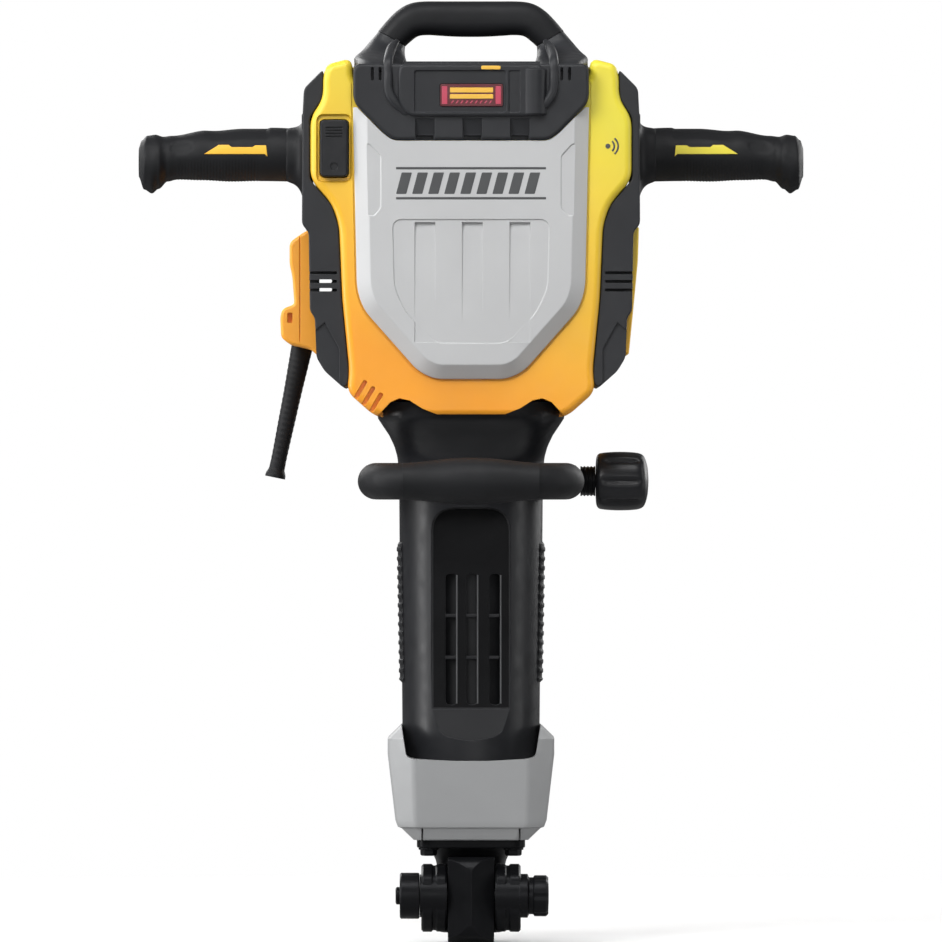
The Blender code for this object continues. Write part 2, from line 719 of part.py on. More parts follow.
def motor():
    """Brushless motor: can, stator, rotor and a cooling fan on the front of its shaft."""
    centre = (0, 0, MOTOR_Z)
    can = [(48.4, 30), (53, 30), (53, -78), (6.5, -78), (6.5, -73), (48.4, -73)]
    turned("motor_housing", can, "Y", centre, "cast_aluminium", closed=True)
    ring("motor_stator", 27.5, 48, -56, 16, "Y", centre, "copper_winding")
    ring("motor_rotor", 6, 26.8, -56, 16, "Y", centre, "bright_steel", SMALL_STEPS)
    blades = 9
    outline = []
    for blade in range(blades):
        start = 360 / blades * blade
        outline += arc((0, MOTOR_Z), 43, start, start + 18, 2)
        outline += arc((0, MOTOR_Z), 17, start + 22, start + 36, 1)
    fan = prism("cooling_fan", outline, -94, -82, finish="black_plastic")
    cut(fan, drum("fan_bore", 6, -110, -70, "Y", centre, steps=SMALL_STEPS))
    set_origin(fan, centre)
    box("controller_module", (-100, -60, 530), (-68, 70, 640), "circuit_plastic", bevel=2)


# ---------------------------------------------------------------- handles


def side_handle(side, sign):
    """Floating handle: arm on a pin in a bracket, with a spring between its tail and the bracket's roof."""
    axis = "X" if sign > 0 else "-X"
    centre = (0, 0, HANDLE_Z)
    pivot = (sign * HANDLE_PIVOT_X, 0, HANDLE_Z)
    arm = drum(side + "_handle_arm", HANDLE_ARM_RADIUS, 66, 279, axis, centre, "cast_aluminium")
    join(arm, drum(side + "_boss", 19, -19, 19, "Y", pivot))
    cut(arm, drum(side + "_boss_bore", 6.4, -30, 30, "Y", pivot, steps=SMALL_STEPS))
    set_origin(arm, pivot)

    root, end = GRIP_X
    bore = HANDLE_ARM_RADIUS + 0.4
    profile = [(0, end), (20, end), (24.5, end - 4), (25.5, end - 12), (24, end - 15), (21.5, end - 17),
               (GRIP_RADIUS, root + 8), (GRIP_RADIUS, root), (bore, root), (bore, 280), (0, 280)]
    turned(side + "_grip", profile, axis, centre, "black_rubber")

    drum(side + "_handle_pin", 6, -27, 27, "Y", pivot, "bright_steel", SMALL_STEPS)
    xs = sorted((sign * 57, sign * 112))
    bracket = box(side + "_handle_bracket", (xs[0], -27, 674), (xs[1], 27, 748), "cast_aluminium", bevel=2)
    xs = sorted((sign * 61, sign * 120))
    channel = box(side + "_channel", (xs[0], -20, 660), (xs[1], 20, 742))
    cut(bracket, channel, drum(side + "_bracket_bore", 6.4, -40, 40, "Y", pivot, steps=SMALL_STEPS))
    handle_spring(side, sign)


def handle_spring(side, sign):
    low, high, turns, wire, radius = 715, 740, 4, 1.7, 8.5
    curve = bpy.data.curves.new(side + "_handle_spring", "CURVE")
    curve.dimensions = "3D"
    curve.bevel_depth = wire * MM
    curve.bevel_resolution = 1
    curve.use_fill_caps = True
    spline = curve.splines.new("POLY")
    count = turns * 8
    spline.points.add(count)
    for i, point in enumerate(spline.points):
        angle = 2 * math.pi * turns * i / count
        height = (high - low) * i / count
        point.co = (radius * math.cos(angle) * MM, radius * math.sin(angle) * MM, height * MM, 1)
    obj = bpy.data.objects.new(side + "_handle_spring", curve)
    PARTS.objects.link(obj)
    place(obj, (sign * HANDLE_SPRING_X, 0, low))
    as_mesh(obj, "spring_steel")


def clamp_band():
    """Band round the neck. It has a pivot stub on the left and a threaded lug on the right."""
    inner, outer = BAND_RADIUS
    band = ring("clamp_band", inner, outer, BAIL_Z - 13, BAIL_Z + 13, finish="black_steel", steps=32)
    centre = (0, 0, BAIL_Z)
    lug = drum("right_lug", 13, 64, 70, "X", centre)
    stub_seat = drum("left_lug", 13, -70, -64, "X", centre)
    join(band, lug, stub_seat, drum("left_stub", 8, -96, -65, "X", centre, steps=SMALL_STEPS))
    cut(band, drum("band_bore", inner, BAIL_Z - 30, BAIL_Z + 30, steps=32))
    cut(band, drum("stud_hole", 6.7, 50, 80, "X", centre, steps=SMALL_STEPS))


def bail_path():
    """The bail's centre line in plan, from the right pivot round the front to the left pivot."""
    corner = (BAIL_ARM_X - BAIL_CORNER, -BAIL_REACH + BAIL_CORNER)
    right = [(BAIL_ARM_X, 2)] + arc(corner, BAIL_CORNER, 0, -90, 6)
    return right + mirrored(list(reversed(right)))


def bail_handle():
    curve = bpy.data.curves.new("bail_frame", "CURVE")
    curve.dimensions = "3D"
    curve.bevel_depth = BAIL_TUBE_RADIUS * MM
    curve.bevel_resolution = 4
    curve.use_fill_caps = True
    spline = curve.splines.new("POLY")
    path = bail_path()
    spline.points.add(len(path) - 1)
    for point, (x, y) in zip(spline.points, path):
        point.co = (x * MM, y * MM, BAIL_Z * MM, 1)
    obj = bpy.data.objects.new("bail_frame", curve)
    PARTS.objects.link(obj)
    frame = as_mesh(obj, "black_plastic")
    centre = (0, 0, BAIL_Z)
    join(frame, drum("right_hub", 16, 70.4, 97, "X", centre), drum("left_hub", 16, -97, -70.4, "X", centre))
    cut(
        frame, drum("right_hub_bore", 6.7, 60, 110, "X", centre, steps=SMALL_STEPS),
        drum("left_hub_bore", 8.6, -110, -60, "X", centre, steps=SMALL_STEPS),
    )
    set_origin(frame, centre)
    half = BAIL_ARM_X - BAIL_CORNER - 2
    profile = [(BAIL_TUBE_RADIUS + 0.4, half), (17, half), (BAIL_GRIP_RADIUS, half - 14),
               (BAIL_GRIP_RADIUS, -half + 14), (17, -half), (BAIL_TUBE_RADIUS + 0.4, -half)]
    turned("bail_grip", profile, "X", (0, -BAIL_REACH, BAIL_Z), "black_rubber", closed=True)


def clamp_knob():
    """Fluted knob with its stud, and the washer that it bears on."""
    flutes = 8
    outline = []
    for i in range(flutes * 6):
        angle = 2 * math.pi * i / (flutes * 6)
        radius = KNOB_RADIUS - 1.6 * (1 - math.cos(flutes * angle))
        outline.append((radius * math.cos(angle), BAIL_Z + radius * math.sin(angle)))
    knob = prism("clamp_knob", outline, *KNOB_X, axis="X", finish="black_plastic", bevel=3)
    join(knob, drum("knob_stud", 6, 66.8, 116, "X", (0, 0, BAIL_Z), steps=SMALL_STEPS))
    set_origin(knob, (0, 0, BAIL_Z))
    ring("thrust_washer", 6.7, 13.4, 97.4, 110.6, "X", (0, 0, BAIL_Z), "bright_steel", SMALL_STEPS)


# ---------------------------------------------------------------- assembly

CUT = {
    "left_arm_hole": drum("left_arm_hole", ARM_HOLE_RADIUS, -160, -115, "X", (0, 0, HANDLE_Z)),
    "right_arm_hole": drum("right_arm_hole", ARM_HOLE_RADIUS, 115, 160, "X", (0, 0, HANDLE_Z)),
}
BOLT_HOLES = [
    drum(
        f"bolt_hole_{x}_{y}", 4.4, 80, 106, centre=(x * NOSE_BOLT_OFFSET, y * NOSE_BOLT_OFFSET, 0),
        steps=SMALL_STEPS,
    )
    for x in (-1, 1)
    for y in (-1, 1)
]


def shade_round():
    """Smooth shading, with sharp edges kept where faces meet at more than 35 degrees."""
    for obj in PARTS.objects:
        obj.data.shade_smooth()
        obj.data.set_sharp_from_angle(angle=math.radians(35))


def build():
    main_housing()
    front_cover()
    rear_cover()
    top_cover()
    carry_handle()
    side_cover("left_side_cover", -1)
    side_cover("right_side_cover", 1)
    cable_inlet_cover()
    strain_relief_sleeve()
    power_rocker()
    barrel()
    barrel_cover()
    nose_collar()
    nose_flange()
    nose_bolts()
    tool_holder()
    latch_pin()
    retaining_latch()
    impact_line()
    connecting_rod()
    gear_train()
    crankshaft()
    gear_case()
    motor()
    side_handle("left", -1)
    side_handle("right", 1)
    clamp_band()
    bail_handle()
    clamp_knob()
    shade_round()


build()
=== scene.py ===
"""Looks of the demolition hammer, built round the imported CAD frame.

Lengths inside the functions are millimetres in the frame's axes: +Z up the hammer axis, -Y the front.
skin() turns them into metres. Most outlines are steps in from a CAD box's right edge and down from its top.
"""

import json
import math

import bmesh
import bpy
from mathutils import Matrix, Vector


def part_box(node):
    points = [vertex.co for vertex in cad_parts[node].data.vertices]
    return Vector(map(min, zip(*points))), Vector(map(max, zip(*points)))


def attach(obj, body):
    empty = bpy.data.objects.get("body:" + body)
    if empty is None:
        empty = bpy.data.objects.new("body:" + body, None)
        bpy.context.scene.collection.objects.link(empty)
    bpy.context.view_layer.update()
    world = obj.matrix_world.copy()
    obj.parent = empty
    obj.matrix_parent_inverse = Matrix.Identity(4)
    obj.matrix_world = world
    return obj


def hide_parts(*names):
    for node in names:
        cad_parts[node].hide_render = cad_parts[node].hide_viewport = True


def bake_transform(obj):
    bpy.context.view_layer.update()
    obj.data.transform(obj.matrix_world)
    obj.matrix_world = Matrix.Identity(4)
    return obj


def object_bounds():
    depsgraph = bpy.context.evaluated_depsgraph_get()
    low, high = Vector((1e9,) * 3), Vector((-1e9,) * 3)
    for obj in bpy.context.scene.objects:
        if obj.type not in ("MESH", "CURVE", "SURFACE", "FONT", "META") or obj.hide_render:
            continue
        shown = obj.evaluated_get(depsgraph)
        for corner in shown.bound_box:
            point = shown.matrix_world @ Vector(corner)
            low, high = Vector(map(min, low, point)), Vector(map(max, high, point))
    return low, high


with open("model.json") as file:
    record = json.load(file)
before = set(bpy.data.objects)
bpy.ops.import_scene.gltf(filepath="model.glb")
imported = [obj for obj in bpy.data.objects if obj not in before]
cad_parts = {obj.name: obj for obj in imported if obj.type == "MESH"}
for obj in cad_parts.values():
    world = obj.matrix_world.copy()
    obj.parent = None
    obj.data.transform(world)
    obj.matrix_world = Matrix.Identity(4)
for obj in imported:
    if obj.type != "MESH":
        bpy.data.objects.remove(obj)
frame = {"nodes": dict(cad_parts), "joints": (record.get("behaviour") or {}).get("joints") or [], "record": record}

CAD_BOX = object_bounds()
MM = 0.001
SIDES = ((1, "right"), (-1, "left"))
ROUND = 72  # flats in a turned circle
FINE = 96  # flats in the barrel's large circles
ORIGIN = (0, 0, 0)


# ---------------------------------------------------------------- places taken from the frame


class Span:
    """A CAD node's box in millimetres."""

    def __init__(self, node):
        low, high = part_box(node)
        self.x0, self.y0, self.z0 = (value / MM for value in low)
        self.x1, self.y1, self.z1 = (value / MM for value in high)
        self.middle = Vector(((self.x0 + self.x1) / 2, (self.y0 + self.y1) / 2, (self.z0 + self.z1) / 2))

    def side(self, *steps):
        """Right-hand outline points from (in from the right edge, down from the top) steps."""
        return [(self.x1 - inward, self.z1 - down) for inward, down in steps]


def joint_point(name):
    joint = next(item for item in frame["joints"] if item["name"] == name)
    return Vector(joint["pos_m"]) / MM


HOUSING = Span("main_housing")
PANEL = Span("front_cover")
TOP = Span("top_cover")
REAR = Span("rear_cover")
SIDE = Span("right_side_cover")
HANDLE_LOOP = Span("carry_handle_grip")
INLET = Span("cable_inlet_cover")
SLEEVE = Span("strain_relief_sleeve")
ROCKER = Span("power_rocker")
COVER = Span("barrel_cover")
COLLAR = Span("nose_collar")
FLANGE = Span("nose_flange")
HOLDER = Span("tool_holder")
PIN = Span("latch_pin")
BAND = Span("clamp_band")
BAIL_GRIP = Span("bail_grip")
WASHER = Span("thrust_washer")
KNOB = Span("clamp_knob")
HANDLE_AXIS = joint_point("right_handle_float")
BAIL_AXIS = joint_point("bail_tilt")
ROCKER_AXIS = joint_point("power_rocker_tilt")
LATCH_AXIS = joint_point("latch_swing")
HOUSING.z1 = REAR.z1  # the rear cover keeps the whole outline, whose top corners the housing's rims cut short
PANEL.z1 += 2.7  # where the panel's side and top edges meet, above its trimmed corners
SIDE.z1 -= 14.7  # the side cover's shoulder, below the corner that rises along the housing's rim
INLET.z1 += 2.2  # the inlet cover's top before its rim is rounded
COVER_BORE = 56.4
COVER_TOP = COVER.z1 + 14  # the barrel cover runs on into the housing's foot
VENTS = (-17.6, 0.8, 21.2)  # centres of the barrel cover's upright slots
FLUTES = (-40.5, 1.2, 43)  # centres of the wedge grooves, and of the scoops above them


# ---------------------------------------------------------------- outlines


def mirrored(side):
    return side + [(-x, z) for x, z in reversed(side)]


def swapped(side, outline):
    """The outline itself for side 1, and its left-hand image for side -1."""
    return [(side * x, z) for x, z in outline]


def edge_normals(points):
    """Inward normals of the edges that leave each corner, and the outline's direction of travel."""
    area = sum(a.x * b.y - b.x * a.y for a, b in zip(points, points[1:] + points[:1]))
    turn = 1 if area > 0 else -1
    normals = []
    for point, after in zip(points, points[1:] + points[:1]):
        along = (after - point).normalized()
        normals.append(Vector((-along.y, along.x)) * turn)
    return normals, turn


def inset(outline, distance):
    """The outline with every edge moved inwards by the same distance."""
    sharpest = 0.4  # keeps very sharp corners from running away
    points = [Vector((point[0], point[1])) for point in outline]
    normals, _ = edge_normals(points)
    moved = []
    for index, point in enumerate(points):
        before, after = normals[index - 1], normals[index]
        moved.append(point + (before + after) / max(sharpest, 1 + before.dot(after)) * distance)
    return moved


def rounded(corners, radius, steps=6, gap=0.0):
    """The closed outline, inset by gap, with each corner turned into an arc that starts radius away."""
    share, widest, shortest = 0.48, 2.6, 0.05  # of an edge that one arc may take; bend; arc
    points = [Vector((point[0], point[1])) for point in corners]
    normals, turn = edge_normals(points)
    moved = inset(points, gap)
    outline = []
    for index, point in enumerate(points):
        last, following = index - 1, (index + 1) % len(points)
        before, after = normals[last], normals[index]
        bend = math.acos(max(-1.0, min(1.0, before.dot(after))))
        hollow = (before.x * after.y - before.y * after.x) * turn < 0
        room = share * min((points[last] - point).length, (points[following] - point).length)
        shift = gap * math.tan(min(bend, widest) / 2)
        reach = max(shortest, min(radius, room) + (shift if hollow else -shift))
        corner = moved[index]
        start = corner + (moved[last] - corner).normalized() * reach
        end = corner + (moved[following] - corner).normalized() * reach
        for step in range(steps + 1):
            t = step / steps
            outline.append((1 - t) ** 2 * start + 2 * t * (1 - t) * corner + t * t * end)
    return outline


def rectangle(x0, x1, z0, z1):
    return [(x0, z0), (x1, z0), (x1, z1), (x0, z1)]


def spline(points, count):
    """A smooth run of points through the given ones."""
    points = [Vector(point) for point in points]
    found = []
    for step in range(count):
        place = step / (count - 1) * (len(points) - 1)
        i = min(int(place), len(points) - 2)
        t = place - i
        a, b = points[max(i - 1, 0)], points[i]
        c, d = points[i + 1], points[min(i + 2, len(points) - 1)]
        bends = (c - a) * t + (2 * a - 5 * b + 4 * c - d) * t**2 + (3 * b - a - 3 * c + d) * t**3
        found.append(0.5 * (2 * b + bends))
    return found


def smooth(low, high, value):
    t = min(1.0, max(0.0, (value - low) / (high - low)))
    return t * t * (3 - 2 * t)


def straight(low, high, value):
    return (value - low) / (high - low)


def within(low, high, fade, value, fade_out=None):
    """1 between low and high, falling smoothly to 0 over the fade at each end."""
    return smooth(low, low + fade, value) * (1 - smooth(high - (fade_out or fade), high, value))


def between(rows, place, blend):
    """The value at a place on a run of (place, value) rows."""
    if place <= rows[0][0]:
        return rows[0][1]
    for (low, first), (high, second) in zip(rows, rows[1:]):
        if place <= high:
            return first + (second - first) * blend(low, high, place)
    return rows[-1][1]


def angles(count):
    return [2 * math.pi * step / count for step in range(count)]


def superellipse(half_a, half_b, power, count):
    points = []
    for angle in angles(count):
        c, s = math.cos(angle), math.sin(angle)
        across = half_a * math.copysign(abs(c) ** (2 / power), c)
        points.append((across, half_b * math.copysign(abs(s) ** (2 / power), s)))
    return points


# ---------------------------------------------------------------- solids


def place_in_scene(name, mesh):
    made = bpy.data.objects.new(name, mesh)
    bpy.context.scene.collection.objects.link(made)
    return made


def skin(name, loops, ends="closed"):
    """A surface through loops of points; its ends are capped, or joined to each other as a ring."""
    merge = 1e-6
    count = len(loops[0])
    points = [Vector(point) * MM for loop in loops for point in loop]
    faces = []
    for row in range(len(loops) if ends == "ring" else len(loops) - 1):
        a = row * count
        b = (row + 1) % len(loops) * count
        for k in range(count):
            m = (k + 1) % count
            faces.append((a + k, a + m, b + m, b + k))
    if ends == "closed":
        faces.append(tuple(reversed(range(count))))
        faces.append(tuple(range(len(points) - count, len(points))))
    mesh = bpy.data.meshes.new(name)
    mesh.from_pydata(points, [], faces)
    work = bmesh.new()
    work.from_mesh(mesh)
    bmesh.ops.remove_doubles(work, verts=work.verts, dist=merge)
    bmesh.ops.dissolve_degenerate(work, edges=work.edges, dist=merge)
    bmesh.ops.recalc_face_normals(work, faces=work.faces)
    if ends != "open" and work.calc_volume(signed=True) < 0:
        bmesh.ops.reverse_faces(work, faces=work.faces)
    work.to_mesh(mesh)
    work.free()
    return place_in_scene(name, mesh)


def edge_steps(start, end, radius, steps=4):
    """(inset, place) pairs that take a slab from one face to the other with rounded rims."""
    rings = []
    turn = 1 if end > start else -1
    for step in range(steps + 1):
        angle = math.pi / 2 * step / steps
        rings.append((radius * (1 - math.sin(angle)), start + turn * radius * (1 - math.cos(angle))))
    return rings + [(gap, end + start - place) for gap, place in reversed(rings)]


ACROSS = {
    "X": lambda point, at: (at, point.x, point.y),
    "Y": lambda point, at: (point.x, at, point.y),
    "Z": lambda point, at: (point.x, point.y, at),
}


def slab(name, outline, rings, radius=0.0, steps=6, across="Y"):
    """A slab across one axis: its outline lies in the other two, and each ring is (inset, place)."""
    loops = []
    for gap, at in rings:
        points = rounded(outline, radius, steps, gap) if radius else inset(outline, gap)
        loops.append([ACROSS[across](point, at) for point in points])
    return skin(name, loops)


def plate(name, outline, start, end, edge=1.5, steps=4, radius=0.0):
    return slab(name, outline, edge_steps(start, end, edge, steps), radius)


def straight_slab(outline, start, end, across="Y"):
    return slab("cutter", outline, [(0, start), (0, end)], across=across)


def pocket(sides, start, end, radius=0.0, steps=3, across="Y"):
    """A cutter from start to end whose face is the rectangle sides, with round corners if radius is given."""
    outline = rectangle(*sides)
    if radius:
        outline = rounded(outline, radius, steps)
    return straight_slab(outline, start, end, across)


def wedge(profile, start, end):
    """A cutter across X whose profile is in (y, z)."""
    return skin("wedge", [[(x, y, z) for y, z in profile] for x in (start, end)])


AXES = {
    "Z": (Vector((1, 0, 0)), Vector((0, 1, 0)), Vector((0, 0, 1))),
    "X": (Vector((0, 1, 0)), Vector((0, 0, 1)), Vector((1, 0, 0))),
    "Y": (Vector((0, 0, 1)), Vector((1, 0, 0)), Vector((0, 1, 0))),
}


def turned(name, profile, centre=ORIGIN, axis="Z", steps=ROUND, ends="closed", shape=None):
    """A turned solid: profile is (radius, height along the axis); shape(angle, height) scales the radius."""
    right, up, along = AXES[axis]
    loops = []
    for radius, height in profile:
        loop = []
        for angle in angles(steps):
            reach = radius * (shape(angle, height) if shape else 1)
            spot = right * math.cos(angle) * reach + up * math.sin(angle) * reach
            loop.append(Vector(centre) + spot + along * height)
        loops.append(loop)
    return skin(name, loops, ends)


def bore(radius, start, end, centre=ORIGIN, axis="Z", steps=ROUND):
    """A round cutter."""
    return turned("bore", [(radius, start), (radius, end)], centre, axis, steps)


def drum(name, centre, radius, start, end, axis="Z", edge=0.8, steps=ROUND):
    """A cylinder with rounded rims."""
    rim = [(edge, 0), (edge * 0.3, edge * 0.3), (0, edge)]
    profile = [(radius - gap, start + rise) for gap, rise in rim]
    profile += [(radius - gap, end - rise) for gap, rise in reversed(rim)]
    return turned(name, profile, centre, axis, steps)


def sweep(name, path, radii, power=2.0, sides=40, up=Vector((0, 0, 1))):
    """A tube along a path whose radii are (sideways, upwards) pairs."""
    loops = []
    for index, point in enumerate(path):
        ahead = path[min(index + 1, len(path) - 1)] - path[max(index - 1, 0)]
        ahead.normalize()
        across = ahead.cross(up).normalized()
        rise = across.cross(ahead).normalized()
        wide, high = radii[index]
        ring = superellipse(wide, high, power, sides)
        loops.append([point + across * a + rise * b for a, b in ring])
    return skin(name, loops)


def discard(made):
    mesh = made.data
    bpy.data.objects.remove(made)
    bpy.data.meshes.remove(mesh)


def settle(made):
    """Turns an object's modifiers into plain mesh."""
    bpy.context.view_layer.update()
    graph = bpy.context.evaluated_depsgraph_get()
    mesh = bpy.data.meshes.new_from_object(made.evaluated_get(graph))
    old = made.data
    made.modifiers.clear()
    made.data = mesh
    bpy.data.meshes.remove(old)
    return made


def combine(made, operation, others):
    for other in others:
        step = made.modifiers.new(operation, "BOOLEAN")
        step.operation = operation
        step.object = other
        step.solver = "EXACT"
    settle(made)
    for other in others:
        discard(other)
    return made


def cut(made, *cutters):
    return combine(made, "DIFFERENCE", cutters)


def fuse(made, *others):
    return combine(made, "UNION", others)


def common(made, *others):
    return combine(made, "INTERSECT", others)


def flipped(made, name):
    """A copy of the object, mirrored left to right."""
    mesh = made.data.copy()
    mesh.transform(Matrix.Scale(-1, 4, (1, 0, 0)))
    mesh.flip_normals()
    return place_in_scene(name, mesh)


def join(name, parts):
    """Several meshes as one object, without a Boolean."""
    work = bmesh.new()
    for part in parts:
        work.from_mesh(part.data)
    mesh = bpy.data.meshes.new(name)
    work.to_mesh(mesh)
    work.free()
    for part in parts:
        discard(part)
    return place_in_scene(name, mesh)


# ---------------------------------------------------------------- materials


class Graph:
    """The node tree of a material or world, with short calls to add and join nodes."""

    def __init__(self, owner):
        self.owner = owner
        owner.use_nodes = True
        self.tree = owner.node_tree
        self.tree.nodes.clear()

    def feed(self, socket, value):
        if isinstance(value, bpy.types.NodeSocket):
            self.tree.links.new(value, socket)
        else:
            socket.default_value = value

    def add(self, kind, inputs=(), **settings):
        node = self.tree.nodes.new("ShaderNode" + kind)
        for key, value in settings.items():
            setattr(node, key, value)
        for key, value in dict(inputs).items():
            self.feed(node.inputs[key], value)
        return node

    def noise(self, place, scale, detail=3.0, stretch=None):
        if stretch:
            place = self.add("Mapping", {"Vector": place, "Scale": stretch}).outputs["Vector"]
        return self.add("TexNoise", {"Vector": place, "Scale": scale, "Detail": detail}).outputs["Fac"]

    def ramp(self, value, low, high, to_low=0.0, to_high=1.0):
        inputs = {"Value": value, "From Min": low, "From Max": high, "To Min": to_low, "To Max": to_high}
        return self.add("MapRange", inputs).outputs["Result"]

    def mix(self, amount, first, second):
        """A colour mix; 0, 6 and 7 are the node's factor and colour inputs."""
        return self.add("Mix", {0: amount, 6: first, 7: second}, data_type="RGBA").outputs[2]

    def math(self, operation, first, second):
        return self.add("Math", {0: first, 1: second}, operation=operation).outputs[0]


def tone(colour, gain=1.0):
    return (*(min(1.0, part * gain) for part in colour), 1.0)


def painted_light_fade(graph, place, low, high, lit_top_colour, spread):
    """Painted light: fades the pair of tones to the top colour's up the housing, a little sooner on its right, for
    a lit top and a shaded, more orange underside.
    """
    lean, start = 0.45, 20
    low_top, high_top = tone(lit_top_colour, 1 - spread), tone(lit_top_colour, 1 + spread)
    spot = graph.add("SeparateXYZ", {"Vector": place})
    height = graph.math("ADD", spot.outputs["Z"], graph.math("MULTIPLY", spot.outputs["X"], lean))
    painted_light_lift = graph.ramp(height, (HOUSING.z0 + start) * MM, HOUSING.z1 * MM)
    return graph.mix(painted_light_lift, low, low_top), graph.mix(painted_light_lift, high, high_top)


def moulded(name, colour, rough, metal=0.0, grain=900.0, depth=0.05, spread=0.10, edge=1.35, stretch=None,
            lit_top_colour=None, sheen=0.5):
    """A finish with broad colour drift, fine grain, scuffs in the gloss and paler worn edges, and painted light
    that pales it towards a top colour when one is given.
    """
    broad_scale, mark_scale, rim = 11.0, 70.0, 0.0008
    dark, dark_edge = 0.1, 3  # below this brightness, edges wear to three times the colour
    graph = Graph(bpy.data.materials.new(name))
    place = graph.add("TexCoord").outputs["Object"]
    broad = graph.noise(place, broad_scale, 3.0)
    marks = graph.noise(place, mark_scale, 7.0)
    fine = graph.noise(place, grain, 2.0, stretch)
    low, high = tone(colour, 1 - spread), tone(colour, 1 + spread)
    # Painted light: the colour pales up the housing towards the lit top colour.
    if lit_top_colour:
        low, high = painted_light_fade(graph, place, low, high, lit_top_colour, spread)
    base = graph.mix(graph.ramp(broad, 0.35, 0.65), low, high)
    soft = graph.add("Bevel", {"Radius": rim}, samples=4).outputs["Normal"]
    flat = graph.add("NewGeometry").outputs["Normal"]
    facing = graph.add("VectorMath", {0: soft, 1: flat}, operation="DOT_PRODUCT").outputs["Value"]
    worn = graph.math("MULTIPLY", graph.ramp(facing, 0.995, 0.90), graph.ramp(marks, 0.35, 0.7, 0.15, 0.75))
    base = graph.mix(worn, base, tone(colour, edge if max(colour) > dark else dark_edge))
    scuffs = graph.ramp(marks, 0.3, 0.7, rough - 0.06, rough + 0.08)
    gloss = graph.math("ADD", scuffs, graph.ramp(worn, 0, 1, 0, -0.05))
    relief = {"Height": fine, "Strength": 0.5, "Distance": depth * MM, "Normal": soft}
    bump = graph.add("Bump", relief).outputs["Normal"]
    finish = {"Base Color": base, "Roughness": gloss, "Metallic": metal, "Normal": bump,
              "Specular IOR Level": sheen}
    surface = graph.add("BsdfPrincipled", finish)
    graph.add("OutputMaterial", {"Surface": surface.outputs["BSDF"]})
    return graph.owner


def make_looks():
    """The finishes by material slot, and those used by visual pieces only."""
    brushed, wound = (1.0, 1.0, 0.04), (0.05, 1, 1)
    plastic = {"rough": 0.42, "spread": 0.05}
    label = {"rough": 0.35, "spread": 0.06}
    finishes = {
        # the yellow's paler lemon top over its orange is painted light
        "yellow_plastic": {"colour": (0.90, 0.345, 0.018), "lit_top_colour": (0.80, 0.69, 0.05), **plastic},
        "orange_plastic": {"colour": (0.90, 0.37, 0.03), **plastic},
        "charcoal_plastic": {"colour": (0.025, 0.026, 0.029), "rough": 0.46, "depth": 0.06, "sheen": 0.26,
                             "spread": 0.08},
        "grey_plastic": {"colour": (0.495, 0.50, 0.505), "rough": 0.42, "spread": 0.025, "edge": 1.12},
        "black_rubber": {"colour": (0.010, 0.0104, 0.0118), "rough": 0.55, "grain": 600.0, "depth": 0.09,
                         "sheen": 0.22},
        "black_plastic": {"colour": (0.013, 0.0135, 0.0155), "rough": 0.36, "sheen": 0.26, "spread": 0.07},
        "black_steel": {"colour": (0.007, 0.0073, 0.0084), "rough": 0.36, "metal": 0.4, "grain": 420.0,
                        "depth": 0.08, "sheen": 0.14},
        "bright_steel": {"colour": (0.56, 0.56, 0.58), "rough": 0.24, "metal": 1.0, "stretch": brushed,
                         "edge": 1.2},
        "spring_steel": {"colour": (0.34, 0.35, 0.38), "rough": 0.30, "metal": 1.0, "stretch": brushed},
        "cast_aluminium": {"colour": (0.45, 0.46, 0.48), "rough": 0.46, "metal": 0.9, "grain": 300.0,
                           "depth": 0.2},
        "grey_casting": {"colour": (0.30, 0.305, 0.31), "rough": 0.45, "grain": 520.0, "depth": 0.08,
                         "spread": 0.04},
        "bronze": {"colour": (0.48, 0.29, 0.11), "rough": 0.34, "metal": 1.0, "stretch": brushed},
        "copper_winding": {"colour": (0.55, 0.22, 0.09), "rough": 0.38, "metal": 0.9, "stretch": wound,
                           "depth": 0.3},
        "circuit_plastic": {"colour": (0.02, 0.07, 0.05), "rough": 0.42},
        # painted shade: an extra-dark finish for the sheet laid on the vent recess floor
        "recess_shade_black": {"colour": (0.006, 0.0062, 0.007), "rough": 0.62, "depth": 0.12, "sheen": 0.12,
                        "spread": 0.15},
        "label_red": {"colour": (0.10, 0.004, 0.010), **label},
        "label_bar": {"colour": (0.50, 0.045, 0.09), **label},
        "label_gold": {"colour": (0.85, 0.48, 0.05), **label},
        # pale grey for the signal mark and the panel's bars, and a painted highlight on the vent lips
        "mark_and_highlight_grey": {"colour": (0.055, 0.057, 0.060), "rough": 0.40, "spread": 0.06},
    }
    return {name: moulded(name, **finish) for name, finish in finishes.items()}


LOOKS = make_looks()


def dress(made, look, crease):
    made.data.materials.clear()
    made.data.materials.append(LOOKS[look])
    made.data.shade_smooth()
    made.data.set_sharp_from_angle(angle=math.radians(crease))


def present(made, body, look, stands_for=(), crease=32):
    """Gives a finished mesh its shading, material and body, and hides the CAD nodes it stands for."""
    dress(made, look, crease)
    even = made.modifiers.new("even_normals", "WEIGHTED_NORMAL")
    even.keep_sharp = True
    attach(made, body)
    if stands_for:
        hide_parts(*stands_for)
    return made


# ---------------------------------------------------------------- screws


